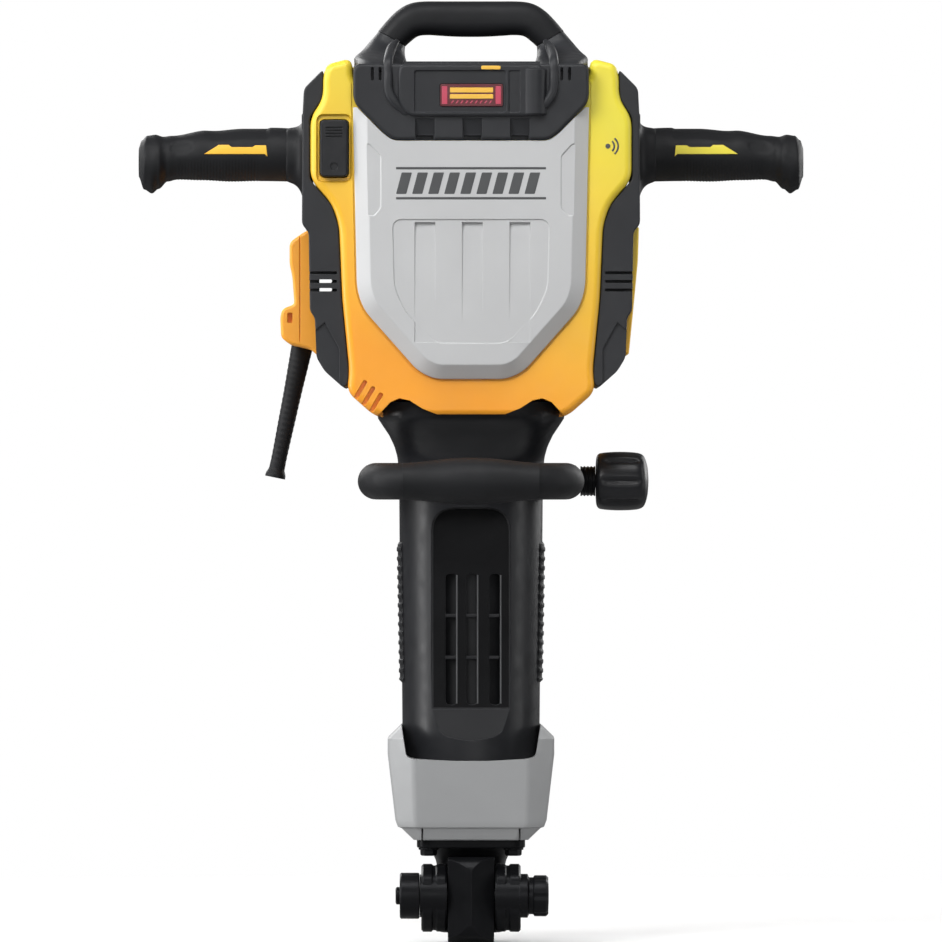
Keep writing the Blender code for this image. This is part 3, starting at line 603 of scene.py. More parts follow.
def screw(centre, towards, radius):
    """A domed screw head with a six-lobed socket. towards is the side it faces, such as -Y or +Z."""
    sign, axis = (-1 if towards[0] == "-" else 1), towards[1]
    flats = 36

    def socket(angle, height):
        return 1 + 0.16 * math.cos(6 * angle)

    profile = [(radius, -3), (radius, 0), (radius * 0.92, 0.9), (radius * 0.7, 1.5), (0.01, 1.8)]
    head = turned("head", [(r, height * sign) for r, height in profile], centre, axis, flats)
    hole = [(radius * 0.42, -0.6 * sign), (radius * 0.42, 4 * sign)]
    return cut(head, turned("socket", hole, centre, axis, flats, shape=socket))


def screws(name, centres, towards, radius=4.0):
    heads = [screw(centre, towards, radius) for centre in centres]
    return present(join(name, heads), "hammer", "black_steel")


# ---------------------------------------------------------------- housing


def housing_outline(shoulder=22):
    steps = [(36.9, shoulder), (36.9, 1), (14, 7), (11.1, 18), (11.1, 37), (0, 54), (0, 108), (19.1, 130),
             (25.3, 149), (28, 213), (34.3, 277), (32.1, 295), (57.5, 317.5)]
    return mirrored(HOUSING.side(*steps))


def neck_notch(side):
    """Cutter for the arched notch where the barrel neck rises into the housing."""
    arch = [(85, -8), (85, -2), (71, 13), (63, 16.5), (54, 14.5), (43, 7.5), (30, 2.4), (-1, 2.4), (-1, -8)]
    outline = swapped(side, [(x, HOUSING.z0 + rise) for x, rise in arch])
    return straight_slab(outline, HOUSING.y0 - 5, HOUSING.y0 + 40)


def slanted_slots():
    """Cutters for the three slanted slots at the lower left corner."""
    slope, across = Vector((10, -17)), Vector((0.86, 0.5)) * 1.9
    cutters = []
    for index in range(3):
        top = Vector((HOUSING.x1 - 49 - index * 7, HOUSING.z0 + 32 - index * 5.5))
        end = top + slope
        outline = rounded([top - across, top + across, end + across, end - across], 1.5, 3)
        cutters.append(straight_slab(swapped(-1, outline), HOUSING.y0 - 8, HOUSING.y0 + 4.7))
    return cutters


def housing():
    front, back = HOUSING.y0, HOUSING.y1
    wall, corner, arm_hole, barrel_hole = 5, 9, 20, 66
    outline = housing_outline()
    shell = slab("housing_shell", outline, edge_steps(back, front, 7, 5), corner)
    cavity = slab("cavity", outline, [(wall, back - wall), (wall, front + wall)], corner)
    foot = bore(barrel_hole, HOUSING.z0 - 10, HOUSING.z0 + 12)
    cuts = [cavity, foot, neck_notch(1), neck_notch(-1), *slanted_slots()]
    for side, _ in SIDES:
        cuts.append(bore(arm_hole, side * 60, side * 160, (0, 0, HANDLE_AXIS.z), "X"))
    rim = rounded(rectangle(ROCKER.x0 - 4, ROCKER.x1 + 3.5, ROCKER.z0 - 5.5, ROCKER.z1 + 5.5), 7)
    cuts.append(slab("rocker_recess", rim, [(-0.5, front - 2), (1.5, front + 3)]))
    gap = 0.8
    opening = (ROCKER.x0 - gap, ROCKER.x1 + gap, ROCKER.z0 - gap, ROCKER.z1 + gap)
    cuts.append(pocket(opening, front - 4, front + 12, 5, 6))
    cuts.append(slab("panel_channel", panel_outline(), [(-1.6, front - 5), (-1.6, front + 0.9)], 12))
    present(cut(shell, *cuts), "hammer", "yellow_plastic", ["main_housing"])


def signal_mark():
    """A plain dot with two arcs, beside the right handle."""
    centre = Vector((HOUSING.x1 - 21, HOUSING.z1 - 79))
    back, face = HOUSING.y0 + 1, HOUSING.y0 - 0.35
    half_line, spread, steps = 0.75, 50, 16
    parts = [drum("dot", (centre.x, 0, centre.y), 2.2, face, back, "Y", 0.2, 32)]
    for reach in (5.6, 9.0):
        loops = []
        for step in range(steps + 1):
            angle = math.radians(-spread + 2 * spread * step / steps)
            ray = Vector((math.cos(angle), math.sin(angle)))
            inner, outer = centre + ray * (reach - half_line), centre + ray * (reach + half_line)
            ring = ((inner, back), (outer, back), (outer, face), (inner, face))
            loops.append([(spot.x, y, spot.y) for spot, y in ring])
        parts.append(skin("arc", loops))
    present(join("signal_mark", parts), "hammer", "mark_and_highlight_grey")


# ---------------------------------------------------------------- front panel


def panel_outline():
    return mirrored(PANEL.side((0, -30), (0, 6), (3.4, 161), (9.4, 179), (57.2, 233), (72, 240)))


def panel():
    back, face, top = PANEL.y1, PANEL.y0, PANEL.z1
    rings = [(0, back), (0, face + 9.6), (0.4, face + 9), (1.2, face + 8.3), (11.4, face + 0.9),
             (12.2, face + 0.3), (13.2, face)]
    body = slab("front_panel", panel_outline(), rings, 12)
    above = slab("above", top_outline(), [(-0.7, face - 6), (-0.7, back + 6)], 8)
    over = pocket((-130, 130, top - 1, top + 60), face - 6, back + 6)
    field_outline = mirrored(PANEL.side((34.5, 99.5), (36, 160), (46, 182), (72, 209)))
    field = slab("field", field_outline, [(-0.6, face - 1), (0.6, face + 0.9)], 9)
    cuts = [above, over, field]
    profile = [(-1, 102), (4.2, 102.8), (2.1, 110.6), (0.6, 208), (-1, 208)]  # (depth, down)
    groove = [(face + depth, top - down) for depth, down in profile]
    for centre in FLUTES:
        cuts.append(wedge(groove, centre - 9, centre + 9))
    corner = PANEL.side((25, 90), (25, 44), (15, 33), (-15, 33), (-15, 97), (19, 97))
    for side, _ in SIDES:
        cuts.append(slab("pad", swapped(side, corner), [(-0.7, face - 0.7), (0.9, face + 0.9)], 2, 3))
    present(cut(body, *cuts), "hammer", "grey_plastic", ["front_cover"], crease=24)
    badge(face)


def badge(face):
    """A plain inlay of slanted bars between two lines, with no lettering."""
    low, high = PANEL.z1 - 84.5, PANEL.z1 - 51.5
    half, bar, lean, count = 66, 9.2, 5.0, 9
    outlines = [rectangle(-half, half, z, z + 2.2) for z in (low + 2.2, high - 4.4)]
    for index in range(count):
        x = -half + index * (2 * half - lean) / count
        corners = [(x, low + 7), (x + bar, low + 7), (x + bar + lean, high - 7), (x + lean, high - 7)]
        outlines.append(rounded(corners, 0.8, 2))
    parts = [plate("shape", outline, face - 0.15, face + 0.7, 0.25, 2) for outline in outlines]
    present(join("panel_inlay", parts), "hammer", "mark_and_highlight_grey")


# ---------------------------------------------------------------- top module


def top_outline():
    return mirrored(TOP.side((0, -1.4), (0, 32.5), (27.5, 60), (35.5, 65.6)))


def top_body():
    """The face and roof, with the raised body and roll in the middle of the face."""
    front, top = TOP.y0 + 4, TOP.z1
    face = slab("top_face", top_outline(), edge_steps(TOP.y0 + 18, front, 3, 4), 8)
    roof = slab("top_roof", mirrored(TOP.side((0, 0), (0, 9.5))), edge_steps(TOP.y1, front + 3, 2.5, 3), 3)
    middle = mirrored([(62, top + 0.5), (64, top - 8), (64, top - 34), (54, top - 45)])
    body = slab("top_body", middle, edge_steps(front + 12, TOP.y0, 2.6, 4), 6)
    ends = [(9, top - 44), (11, top - 42.5), (11, top - 4), (9, top - 2.5)]
    return fuse(face, roof, body, turned("top_roll", ends, (56, TOP.y0 + 7.5, 0)))


def top_module():
    face, front, top = TOP.y0, TOP.y0 + 4, TOP.z1
    window = rounded(rectangle(-50, 31, top - 42, top - 4.5), 3)
    strip = rounded(rectangle(33, 43.5, top - 42, top - 4.5), 2)
    cuts = [
        slab("window", window, [(-0.6, face - 1), (0.8, face + 1.6)]),
        slab("strip", strip, [(-0.5, face - 1), (0.6, face + 1.0)]),
        pocket((-27.5, 28.5, top - 36.6, top - 16.4), face - 1, face + 2.6, 2, 6),
    ]
    scoop = [(front - 6, top - 46), (front + 1.0, top - 47), (front + 4.2, top - 60), (front + 4.2, top - 68),
             (front - 6, top - 68)]
    for x in FLUTES:
        cuts.append(wedge(scoop, x - 8.6, x + 8.6))
        cuts.append(pocket((x - 7.6, x + 7.6, top - 68, top - 61.6), front - 6, front + 11))
    for side, _ in SIDES:
        for x in (79.8, 86.6):
            slot = (side * x - 1.3, side * x + 1.3, top - 13.5, top - 1.8)
            cuts.append(pocket(slot, front - 6, front + 7, 1.2))
    for index in range(5):
        y = -32 + index * 11
        cuts.append(pocket((-30, 30, y - 1.6, y + 1.6), top - 4, top + 2, 1.5, across="Z"))
    present(cut(top_body(), *cuts), "hammer", "charcoal_plastic", ["top_cover"], crease=28)
    c_ribs(front, top)
    label(top)
    # A small yellow plate at the top edge of the face.
    lens = rounded(rectangle(9, 26, top - 4.0, top - 0.6), 1.2, 3)
    present(plate("yellow_top_strip", lens, face - 0.4, face + 4, 0.5), "hammer", "label_gold")
    places = [(side * (TOP.x1 - 12), y, top) for side, _ in SIDES for y in (face + 60, TOP.y1 - 22)]
    screws("roof_screws", places, "+Z")


def c_ribs(front, top):
    """The two raised ribs that run from the handle posts down round the central body."""
    points = [(66, -30, top + 24), (70, -62, top + 17), (72.6, front + 9, top + 6),
              (72.8, front + 1.8, top - 8), (72, front + 0.2, top - 23), (66.5, front + 0.2, top - 33),
              (57, front + 0.8, top - 42.5)]
    for side, name in SIDES:
        path = spline([(side * x, y, z) for x, y, z in points], 44)
        radii = []
        for index in range(len(path)):
            t = index / (len(path) - 1)
            wide = 4.4 * (0.55 + 0.45 * smooth(0, 0.2, t)) * (1 - 0.45 * smooth(0.8, 1, t))
            radii.append((wide, wide * 0.95))
        rib = sweep(f"top_rib_{name}", path, radii, 2.6, 28, up=Vector((side, 0, 0.25)))
        present(rib, "hammer", "charcoal_plastic", crease=60)


def label(top):
    """A plain coloured plate with end bars, ticks and bands, and no lettering."""
    low, high = top - 36.2, top - 16.8
    start, end = TOP.y0 + 0.35, TOP.y0 + 1
    ground = rounded(rectangle(-27, 28, low, high), 1.6)
    ground = plate("label_ground", ground, TOP.y0 + 0.6, TOP.y0 + 2.8, 0.3, 2)
    present(ground, "hammer", "label_red")
    bars = []
    for x in (-25.6, 21.6):
        outline = rounded(rectangle(x, x + 4.8, low + 1.8, high - 1.8), 0.6, 2)
        bars.append(plate("end", outline, start, end, 0.15, 2))
    for index in range(9):
        x = -18 + index * 4.2
        tick = [(x, low + 2.4), (x + 1.4, low + 2.4), (x + 3.2, low + 4.9), (x + 1.8, low + 4.9)]
        bars.append(plate("tick", tick, start, end, 0.1, 1))
    present(join("label_bars", bars), "hammer", "label_bar")
    bands = []
    for foot, head in ((high - 7.4, high - 3.0), (low + 6.6, low + 10.6)):
        outline = rounded(rectangle(-18.5, 19.5, foot, head), 0.6, 2)
        bands.append(plate("band", outline, start, end, 0.15, 2))
    present(join("label_bands", bands), "hammer", "label_gold")


# ---------------------------------------------------------------- carry handle


def handle_loops(outer, inner, depths, count, power=2.6):
    """Sections across the arch between its outer and inner edges, seen from the front."""
    depths = spline([(depth, 0) for depth in depths], count)
    loops = []
    for a, b, depth in zip(spline(outer, count), spline(inner, count), depths):
        centre, half = (a + b) / 2, (a - b) / 2
        loop = []
        for u, v in superellipse(1.0, depth.x, power, 44):
            spot = centre + half * u
            loop.append((spot.x, v, spot.y))
        loops.append(loop)
    return loops


def whole_arch(half):
    """The arch's left half, added to its right half, which ends on the middle line."""
    return half + [(-x, z) for x, z in reversed(half[:-1])]


def lowered(top, half):
    """Points given as (across, down from the top)."""
    return [(x, top - down) for x, down in half]


def carry_grip(top):
    outer = lowered(top, [(82.5, 26.5), (74.5, 17), (66, 8.6), (56, 2.6), (44, 0.2), (22, 0), (0, 0)])
    inner = lowered(top, [(58.4, 40), (54, 36), (47, 31), (38, 30), (28, 30.6), (14, 31.4), (0, 31.6)])
    depths = [17, 17.5, 17, 16.5, 17, 17.5, 17]
    made = skin("carry_grip", handle_loops(whole_arch(outer), whole_arch(inner), depths, 61))
    present(made, "hammer", "black_rubber", ["carry_handle_grip"], crease=70)


def carry_handle():
    top, base = HANDLE_LOOP.z1, TOP.z1
    carry_grip(top)
    outer = lowered(top, [(82.3, 27), (89.5, 35.5), (97, 44.5), (103.3, 51), (103.7, 56)])
    outer.append((103.7, base - 6))
    inner = lowered(top, [(58.6, 40.5), (59, 45), (58.4, 50), (57, 55)]) + [(56, base - 1), (54, base - 6)]
    depths = [16.8, 22, 42, 76, 100, 108.5]
    posts = [skin("post", handle_loops(swapped(side, outer), swapped(side, inner), depths, 26, 3.4))
             for side, _ in SIDES]
    deck = rounded(rectangle(-96, 96, -70, 62), 14)
    rings = [(0, base - 4), (0, base + 3.4), (1, base + 4.6), (2.6, base + 5.2)]
    base_plate = slab("deck", deck, rings, across="Z")
    present(fuse(base_plate, *posts), "hammer", "charcoal_plastic", ["carry_handle"], crease=40)


# ---------------------------------------------------------------- side covers


def side_cover_outline():
    outer = SIDE.side((1.8, -1), (0.6, 22), (0, 119), (6, 125), (7, 195), (11.5, 201), (12.8, 236), (20, 248),
                      (37, 263))
    inner = HOUSING.side((33.8, 276), (27.6, 212), (24.9, 149), (18.7, 130.2), (-0.4, 108.2), (-0.4, 53.8),
                         (10.7, 37))
    return HOUSING.side((11.4, 11)) + outer + [(HOUSING.x1 - 33.6, HOUSING.z0 + 30)] + inner


def side_cover_cuts(right, high, front):
    """Front slots, upper vents, lower corner facet, door seat, arm hole and lower grille."""
    cuts = []
    for index in range(3):
        z = high - 161.5 - index * 7.6
        cuts.append(pocket((right - 31, right - 3, z - 1.3, z + 1.3), front - 8, front + 14, 1.2))
    for index in range(7):
        z = high - 62 - index * 7
        cuts.append(pocket((46, 78, z - 1.5, z + 1.5), right - 5, right + 5, 1.4, across="X"))
    facet = SIDE.side((20, 205), (33, 228), (33, 285), (-4, 285), (-4, 225))
    cuts.append(straight_slab(facet, front - 8, front - 1))
    cuts.append(pocket((-54, 74, high - 199, high - 119), right - 2.2, right + 4, 8, 6, "X"))
    cuts.append(bore(24, right - 60, right + 5, (0, 0, HANDLE_AXIS.z), "X"))
    for index in range(6):
        z = high - 211 - index * 6
        bar = [(right - 20, z), (right - 20, z + 2.4), (right + 4, z + 6.4), (right + 4, z + 4)]
        cuts.append(straight_slab(bar, -58, 58))
    return cuts


def see_through_windows(right, high):
    """The left cover's two slots that light shows through, drawn aside towards the back."""
    ends = ((0, SIDE.y0 - 10, 0), (-3.2, SIDE.y1 + 10, 4.2))
    windows = []
    for z in (high - 169.1, high - 176.7):
        outline = rounded(rectangle(-(right - 14.5), -(right - 27), z - 1.7, z + 1.7), 1.5, 3)
        windows.append(skin("window", [[(p.x + dx, y, p.y + dz) for p in outline] for dx, y, dz in ends]))
    return windows


def side_covers():
    right, high, front = SIDE.x1, SIDE.z1, SIDE.y0
    rings = edge_steps(SIDE.y1 + 2, front - 3, 1.6, 4)
    cover = slab("right_side_shell", side_cover_outline(), rings, 4, 4)
    cover = cut(cover, *side_cover_cuts(right, high, front))
    mirror = cut(flipped(cover, "left_side_shell"), *see_through_windows(right, high))
    present(cover, "hammer", "charcoal_plastic", ["right_side_cover"])
    present(mirror, "hammer", "charcoal_plastic", ["left_side_cover"])
    pad_outline = rounded(rectangle(-62, 62, high - 34, high - 20), 4, 4)
    for side, name in SIDES:
        rings = [(0, side * (right - 6)), (0, side * (right + 0.1)), (0.8, side * (right + 0.7))]
        present(slab(f"{name}_side_pad", pad_outline, rings, across="X"), "hammer", "black_rubber")
        places = [(side * (right - 2), y, high - down) for y in (-72, 72) for down in (27, 108)]
        screws(f"{name}_side_screws", places, "+X" if side > 0 else "-X", 3.6)
    side_door(right, high)


def side_door(right, high):
    """The louvred yellow door in the right cover, whose edge shows from the front."""
    edge = SIDE.side((0.2, 120), (1.2, 150), (4.9, 189), (9.3, 233), (16, 233), (15, 203), (9, 190), (9, 120))
    door = plate("right_side_door", edge, -51, 71, 2, 3, 2)
    cuts = []
    for index in range(6):
        z = high - 132 - index * 9
        cuts.append(pocket((-38, 40, z - 2, z + 2), right - 6, right + 5, 1.9, 4, "X"))
    places = [(right - 3.2, 58, high - 130), (right - 7.2, 58, high - 188)]
    for x, y, z in places:
        cuts.append(drum("dimple", (0, y, z), 4.4, x + 0.2, right + 6, "X"))
    present(cut(door, *cuts), "hammer", "yellow_plastic")
    screws("door_screws", places, "+X", 3.2)


# ---------------------------------------------------------------- rear cover


def rear_cover():
    back, top = REAR.y1, HOUSING.z1
    rings = [(0, REAR.y0), (0, back - 8), (0.8, back - 5.6), (3, back - 3.6), (10, back - 1.6),
             (12, back - 1.4)]
    shell = slab("rear_shell", housing_outline(8), rings, 9)
    raised_outline = mirrored(lowered(top, [(78, 46), (88, 62), (84, 180), (48, 240)]))
    raised_rings = [(0, back - 8), (0, back - 1.8), (1.6, back - 0.3), (2.4, back)]
    raised = slab("raised", raised_outline, raised_rings, 10)
    cuts = []
    for index in range(8):
        z = top - 92 - index * 11
        half = 58 - max(0, index - 4) * 5
        cuts.append(pocket((-half, half, z - 2, z + 2), back - 8, back + 4, 1.9, 4))
    cuts.append(pocket((-52, 52, top - 80, top - 58), back - 1.2, back + 4, 4, 6))
    places = lowered(top, [(118, 72), (100, 180), (60, 272)])
    seats = [(side * x, back - 5, z) for side, _ in SIDES for x, z in places]
    for x, y, z in seats:
        cuts.append(drum("recess", (x, 0, z), 6.5, y, back + 6, "Y"))
    present(cut(fuse(shell, raised), *cuts), "hammer", "yellow_plastic", ["rear_cover"], crease=28)
    screws("rear_screws", seats, "+Y", 4.6)
    pad = rounded(rectangle(-50, 50, top - 78.5, top - 59.5), 3.4)
    present(plate("rear_rest_pad", pad, back - 1.1, back - 0.1, 0.4, 2), "hammer", "charcoal_plastic")


# ---------------------------------------------------------------- side handles


def grip_edges(x):
    """Top and bottom height of the grip at a distance x from the hammer axis."""
    rise = [(157, 25.0), (175, 25.6), (202, 25.6), (235, 23.2), (266, 18.4), (274, 17.6), (281, 19.4),
            (288, 18.5), (293, 14.5), (296, 7)]
    drop = [(157, 22.4), (185, 22.0), (213, 22.6), (240, 21.4), (262, 20.8), (270, 22.4), (278, 29.0),
            (284, 33.0), (291, 29.5), (296, 18)]
    return HANDLE_AXIS.z + between(rise, x, smooth), HANDLE_AXIS.z - between(drop, x, smooth)


def grip_dent(x, angle):
    """Depth of the ribs under the fingers, the thumb flat and the oval pad near the end."""
    c, s = math.cos(angle), math.sin(angle)
    ribs = within(186, 264, 6, x) * (0.5 + 0.5 * math.cos(2 * math.pi * (x - 186) / 2.8))
    dent = 0.45 * ribs * smooth(0.05, 0.35, -s)
    thumb = within(178, 240, 4, x, 18) * smooth(0.55, 0.68, s)
    oval = smooth(1, 0.55, ((x - 257) / 12) ** 2 + ((s - 0.42) / 0.3) ** 2)
    front = smooth(-0.1, 0.2, s) * smooth(0.35, 0.6, abs(c))
    return dent + 0.9 * thumb + 0.9 * oval * front


def grip_loop(x, grow, ribs):
    top, foot = grip_edges(x)
    centre, tall = (top + foot) / 2, (top - foot) / 2 + grow
    wide = min(tall, 23.4) + grow * 0.5 + 0.6 * smooth(272, 282, x)
    wide *= 1 - 0.28 * smooth(290, 296, x)
    loop = []
    for angle in angles(64):
        dent = grip_dent(x, angle) if ribs else 0.0
        loop.append(((wide - dent) * math.cos(angle), centre + (tall - dent) * math.sin(angle)))
    return loop


def grip_mesh(name, side, grow=0.0, ribs=True):
    start, pitch, count = 157, 0.7, 199
    places = [start + pitch * step for step in range(count)]
    return skin(name, [[(side * x, y, z) for y, z in grip_loop(x, grow, ribs)] for x in places])


def grip_inlay(side, name):
    points = [(237, 1.4), (224, 9.6), (215, 9.6), (212.5, 7.6), (194, 7.6), (191.5, 9.2), (182, 9.2),
              (180.8, -0.8), (183.2, 1.4)]
    outline = [(side * x, HANDLE_AXIS.z + z) for x, z in points]
    proud = 0.45
    made = slab(f"{name}_grip_inlay", outline, [(0, -40), (0, -14)])
    present(common(made, grip_mesh("shape", side, proud, False)), f"{name}_handle", "yellow_plastic")


def boot(side, name):
    """The flexible flared root between a side cover and its grip, at the float hinge."""
    rows = [  # (across, half width, height above the axis, depth below it)
        (144.5, 44, 37, 54), (147.2, 42, 36, 51), (148.6, 37, 33, 43), (150, 32, 30.5, 36),
        (152, 28, 28, 30.5), (155, 25.6, 26.4, 26.4), (159, 24.6, 25.6, 24.0), (164, 24.0, 25.0, 22.6),
        (165, 22.0, 23.0, 20.6),
    ]
    middle, start, end = HANDLE_AXIS.z, 149, 158
    loops = []
    for x, wide, above, below in rows:
        loops.append([(side * x, wide * c, middle + s * (above if s > 0 else below))
                      for c, s in superellipse(1.0, 1.0, 2.4, 64)])
    made = skin(f"{name}_boot", loops)
    detail = made.modifiers.new("round", "SUBSURF")
    detail.levels = detail.render_levels = 2
    settle(made)
    made.data.materials.append(LOOKS["black_rubber"])
    made.data.shade_smooth()
    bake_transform(made)


def side_handles():
    for side, name in SIDES:
        grip = grip_mesh(f"{name}_hand_grip", side)
        present(grip, f"{name}_handle", "black_rubber", [f"{name}_grip"], crease=50)
        grip_inlay(side, name)
        boot(side, name)


# ---------------------------------------------------------------- switch and cable


def rocker():
    """The power key: dished along its length, with ribs at the top and a dot at the foot."""
    left, right, front, middle = ROCKER.x0, ROCKER.x1, ROCKER.y0, ROCKER_AXIS
    half, dish = (ROCKER.z1 - ROCKER.z0) / 2, 2.2
    outline = rounded(rectangle(left, right, ROCKER.z0, ROCKER.z1), 4.5)
    loops = []
    for gap, y in edge_steps(ROCKER.y1, front, 1.6, 4):
        loop = []
        for point in inset(outline, gap):
            away = (point.y - middle.z) / half
            loop.append((point.x, y + (dish * (1 - away * away) if y < middle.y else 0), point.y))
        loops.append(loop)
    cuts = []
    for index in range(4):
        z = middle.z + half - 7 - index * 2.6
        cuts.append(pocket((left + 5, right - 5, z - 0.6, z + 0.6), front - 3, front + 1.8, 0.5, 2))
    dot = (middle.x, 0, middle.z - half + 9)
    cuts.append(bore((right - left) * 0.14, front - 3, front + 1.8, dot, "Y", 32))
    present(cut(skin("rocker_key", loops), *cuts), "rocker", "black_plastic", ["power_rocker"])


def cable_inlet():
    """The block on the left cover: a small hole and groove in front, and a screwed seat on its side."""
    edge, front, back, high = INLET.x0, INLET.y0, INLET.y1, INLET.z1
    steps = [(33, 0), (26.5, 0), (18.5, 4.5), (8.5, 12), (8.5, 31), (11, 42.5), (12.8, 67), (2, 71),
             (0.2, 78), (1, 96.5), (8.5, 102.5), (26.5, 106.5), (34.5, 113.5)]
    outline = [(edge + inward, high - down) for inward, down in steps]
    made = slab("inlet_shell", outline, edge_steps(back, front, 3, 4), 3.5, 4)
    groove = pocket((edge + 17.2, edge + 18.2, high - 100, high - 1), front - 4, front + 1.4)
    hole = pocket((edge + 6.6, edge + 11.2, high - 83.5, high - 74.5), front - 4, front + 7, 1.5)
    seat = pocket((front + 14, back - 14, high - 56, high - 22), edge - 2, edge + 12.6, 6, 6, "X")
    present(cut(made, groove, hole, seat), "hammer", "orange_plastic", ["cable_inlet_cover"])
    screws("inlet_screws", [(edge + 14.6, y, high - 34) for y in (front + 26, back - 26)], "-X", 3.4)


def sleeve():
    """The strain relief: a tapered tube with rings and a flared mouth."""
    low = Vector((SLEEVE.x0 + 9, SLEEVE.middle.y, SLEEVE.z0 + 2))
    high = Vector((SLEEVE.x1 - 9.5, low.y, SLEEVE.z1))
    high += (high - low).normalized() * 13  # on into the inlet block
    count, rings, sideways = 121, 24, Vector((0, 1, 0))
    path, radii = [], []
    for index in range(count):
        t = index / (count - 1)
        radius = 9.6 - 1.6 * smooth(0, 0.5, t) - 1.0 * smooth(0.4, 0.9, t) + 2.1 * smooth(0.93, 0.985, t)
        ring = 0.28 * (0.5 + 0.5 * math.cos(2 * math.pi * t * rings)) * within(0.08, 0.92, 0.06, t)
        path.append(high.lerp(low, t))
        radii.append((radius - ring, radius - ring))
    made = sweep("relief_sleeve", path, radii, up=sideways)
    hole = sweep("hole", [low.lerp(high, 0.06), low.lerp(high, -0.03)], [(4.6, 4.6), (6.4, 6.4)], up=sideways)
    present(cut(made, hole), "hammer", "black_rubber", ["strain_relief_sleeve"], crease=40)


# ---------------------------------------------------------------- barrel cover


def cover_radius(z):
    rows = [(0, 59.4), (3, 60.8), (80, 61.4), (205, 63.6), (262, 64.0), (280, 65.4), (290, 68.2), (300, 73.0),
            (308, 78.4), (COVER.z1 - COVER.z0, 83.0), (COVER_TOP - COVER.z0, 84.0)]
    return between(rows, z - COVER.z0, straight)


def cover_shroud():
    """The round sleeve, which squares off front to back as it flares into the housing."""
    steps = 90
    loops = []
    for step in range(steps + 1):
        z = COVER.z0 + (COVER_TOP - COVER.z0) * step / steps
        radius, square = cover_radius(z), smooth(COVER.z1 - 40, COVER.z1, z)
        ring = superellipse(radius, radius + 10 * square, 2 + 1.6 * square, FINE)
        loops.append([(x, y, z) for x, y in ring])
    return skin("barrel_shroud", loops)


def barrel_cover():
    foot, wall, floor = COVER.z0, 3.4, -50.4
    half, low, high = 35, foot + 28, foot + 236
    slot_low, slot_high, slot_half = foot + 61, foot + 177, 5
    hollow = bore(COVER_BORE, foot - 5, COVER.z1 + 30, steps=FINE)
    hollow = cut(hollow, pocket((-90, 90, foot + 20, COVER.z1 - 60), -95, floor + wall))
    scoop = [(-half, low + 22), (-half + 9, low + 6), (0, low), (half - 9, low + 6), (half, low + 22),
             (half, high), (-half, high)]
    ramp = [(floor + 2, low + 31), (floor - 0.4, low + 29), (-55.4, low + 4), (-56.6, low - 2),
            (-56.6, low - 30), (-20, low - 30), (-20, low + 31)]
    window = cut(slab("window", scoop, [(0, -95), (0, floor)], 22, 8), wedge(ramp, -80, 80))
    cuts = [hollow, window]
    for x in VENTS:
        cuts.append(pocket((x - slot_half, x + slot_half, slot_low, slot_high), -80, -30, 4.6, 5))
    for row in range(3):
        z = foot + 90 + row * 40
        for x in (-14, 0, 14):
            cuts.append(pocket((x - 3.4, x + 3.4, z - 14, z + 14), 40, 80, 3.2, 4))
    present(cut(cover_shroud(), *cuts), "hammer", "black_plastic", ["barrel_cover"], crease=30)
    vent_details(foot, floor, wall)
    # A thin extra-dark sheet over the recess floor round the slots: painted shade that darkens the recess.
    inlay = plate("vent_shade_sheet", inset(scoop, 1.6), floor - 0.5, floor + 0.4, 0.3, 2, 20)
    trims = [pocket((-60, 60, low - 20, low + 31), -80, -30)]
    for x in VENTS:
        slot = rectangle(x - slot_half, x + slot_half, slot_low, slot_high)
        trims.append(slab("slot", slot, [(-0.3, -80), (-0.3, -30)], 4.6, 5))
    present(cut(inlay, *trims), "hammer", "recess_shade_black")
    liner = [(46.1, foot + 30), (46.8, foot + 30), (46.8, foot + 200), (46.1, foot + 200)]
    present(turned("air_liner", liner, steps=64, ends="ring"), "hammer", "black_rubber")
    side_strips()


def vent_details(foot, floor, wall):
    """Two cross bars behind the slots, and a raised lip along each slot's right edge, in pale grey as a painted
    highlight.
    """
    bars = []
    for z in (foot + 103, foot + 140):
        outline = rounded(rectangle(-25, 25, z - 1.5, z + 1.5), 1, 2)
        bars.append(plate("bar", outline, floor + 0.5, floor + wall, 0.5, 2))
    present(join("vent_bars", bars), "hammer", "black_plastic")
    lips = []
    for x in VENTS:
        edge = rectangle(x + 4.4, x + 5.9, foot + 62, foot + 176)
        lips.append(plate("lip", edge, floor - 1.3, floor + wall, 0.6, 3, 0.7))
    # The lips take the pale grey as a painted highlight along each slot's right edge.
    present(join("vent_lips", lips), "hammer", "mark_and_highlight_grey")


def side_strips():
    """Ribbed bumper strips on both flanks of the barrel cover."""
    low, high, rows, pitch = COVER.z0 + 80, COVER.z0 + 205, 126, 8.3
    spread, steps = 16, 12
    fan = [math.radians(-spread + 2 * spread * step / steps) for step in range(steps + 1)]
    for side, name in SIDES:
        loops = []
        for index in range(rows):
            z = low + (high - low) * index / (rows - 1)
            rib = 0.9 * smooth(-0.2, 0.5, math.sin(2 * math.pi * (z - low) / pitch)) * within(low, high, 3, z)
            radius = cover_radius(z)
            outer = radius + 0.4 + 1.4 * within(low, high, 2.5, z) + rib
            reaches = [outer - 1.2] + [outer] * (steps - 1) + [outer - 1.2]
            ring = list(zip(reaches, fan)) + [(radius - 1.5, angle) for angle in reversed(fan)]
            loops.append([(side * r * math.cos(angle), r * math.sin(angle), z) for r, angle in ring])
        present(skin(f"{name}_flank_strip", loops), "hammer", "black_rubber", crease=40)


# ---------------------------------------------------------------- nose


